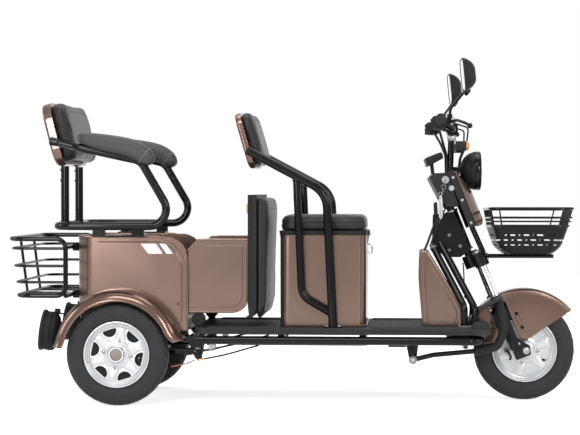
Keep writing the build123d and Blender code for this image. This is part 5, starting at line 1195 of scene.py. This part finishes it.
def piping(mesh, heights, radius, look, name, body, to_world):
    """Sewn cords that follow a pad's side at each height."""
    tree = BVHTree.FromPolygons([v.co for v in mesh.vertices], [p.vertices[:] for p in mesh.polygons])
    cords = Shape()
    for z in heights:
        line = []
        for k in range(PIPING_POINTS):
            a = math.tau * k / PIPING_POINTS
            out_way = Vector((math.cos(a), math.sin(a), 0))
            hit = tree.ray_cast(Vector((0, 0, z * 0.001)) + out_way, -out_way)[0]
            if hit:
                line.append(hit * 1000)
        cords.tube(line, radius, 8, closed=True)
    mesh = cords.mesh(name)
    mesh.transform(to_world)
    return place(mesh, name, look, body)


def cushion(name, node, body, centre, across, up, size, corner, cap, seams, cords, taper=0.0, voxel=5.0,
            inset_seam=0.0):
    """A padded piece on a plane through centre, in place of its plain CAD solid."""
    width, height, thick = size
    across, up = Vector(across).normalized(), Vector(up).normalized()
    away = across.cross(up)
    to_world = Matrix.Translation(Vector(centre) * 0.001) @ Matrix((across, up, away)).transposed().to_4x4()
    slack = cap * 0.55
    mesh = pad_shape(width - 2 * slack, height - 2 * slack, thick - cap * 0.75, corner, taper).mesh(name)
    mesh = swollen(remeshed(mesh, voxel), cap)
    mesh = shaped(mesh, thick + 1.5, seams, inset_seam)
    piping(mesh, cords, 1.5, LEATHER, name + "_piping", body, to_world)
    mesh.transform(to_world)
    piece = place(mesh, name, LEATHER, body, 60, (node,))
    return piece


def leaning(lean):
    """The directions out of and up along a backrest that leans back."""
    return Vector((math.cos(lean), 0, math.sin(lean))), Vector((-math.sin(lean), 0, math.cos(lean)))


cushion("driver_seat_pad", "driver_seat_cushion", "seat_lid", (106.5, 0, 619.2), (0, -1, 0), (1, 0, 0), (338, 325, 55),
        56, 8, [(45.4, 1.8), (26, 2.4)], [45.4], inset_seam=34)
back_way, up_way = leaning(SEAT_LEAN)
middle = Vector((-160, 0, 840)) + up_way * 103
cushion("driver_back_pad", "driver_backrest_cushion", "chassis", middle + back_way * 22.4, (0, 1, 0), up_way,
        (356, 210, 40), 60, 8, [(28, 1.8), (1.5, 1.6)], [28], inset_seam=32)
back_way, up_way = leaning(REAR_LEAN)
middle = Vector((-853, 0, 850.3)) + up_way * 114
cushion("rear_back_pad", "rear_backrest_cushion", "chassis", middle + back_way * 33.4, (0, 1, 0), up_way,
        (476, 232, 50), 66, 9, [(38, 1.8), (1.5, 1.6)], [38], inset_seam=36)
cushion("bench_pad", "bench_cushion", "bench", (-128.4, 0, 521), (0, 1, 0), (0, 0, 1), (460, 450, 41), 48, 7,
        [(23, 2.0), (1.5, 1.4)], [23], taper=0.55, voxel=6.0, inset_seam=40)


# ---------------------------------------------------------------- armrest pads, thick at their drooping fronts
def armrest_pad(side):
    """A moulded grip that sits over the arm's tube and hangs over its front bend."""
    stations = [
        (-757, 949, 2, 3), (-755, 949, 11, 14), (-748, 949.5, 18, 20), (-735, 948, 21.5, 24),
        (-700, 939, 28, 27), (-660, 931, 31.5, 28), (-620, 924, 33, 28.5), (-585, 917, 34, 29),
        (-556, 908, 35, 29.5), (-530, 895, 34, 29.5), (-510, 879, 30, 28.5), (-499, 866, 22, 26),
        (-494, 860, 14, 20), (-492, 857, 4, 6),
    ]
    rings, count = [], 36
    for i, (x, z, half_t, half_w) in enumerate(stations):
        a, b = stations[max(i - 1, 0)], stations[min(i + 1, len(stations) - 1)]
        along = Vector((b[0] - a[0], 0, b[1] - a[1])).normalized()
        if i > len(stations) - 4:
            along = Vector((0.62, 0, -0.78))
        up_way = Y.cross(along) * -1
        ring = []
        for k in range(count):
            t = math.tau * k / count
            c, s = math.cos(t), math.sin(t)
            wide = math.copysign(abs(c) ** 0.75, c)
            tall = math.copysign(abs(s) ** (0.9 if s > 0 else 0.6), s)
            ring.append(Vector((x, side * 300, z)) + Y * wide * half_w + up_way * tall * half_t)
        rings.append(ring)
    shape = Shape()
    shape.rings(rings)
    name = "armrest_pad_" + ("right" if side < 0 else "left")

    def setup(passing):
        passing.modifiers.new("round", "SUBSURF").levels = 2
    mesh = applied(shape.mesh(name), setup)
    piece = place(mesh, name, SOFT_GRIP, "chassis", 60, ("armrest_pads",) if side < 0 else ())
    line = Shape()
    ring = [(p * 0.45 + q * 0.55) for p, q in zip(rings[9], rings[10])]
    centre = sum(ring, Vector()) / len(ring)
    line.tube([centre + (p - centre) * 1.005 for p in ring], 1.3, 8, closed=True)
    line.out(name + "_seam", GREY, "chassis")


for side in (-1, 1):
    armrest_pad(side)
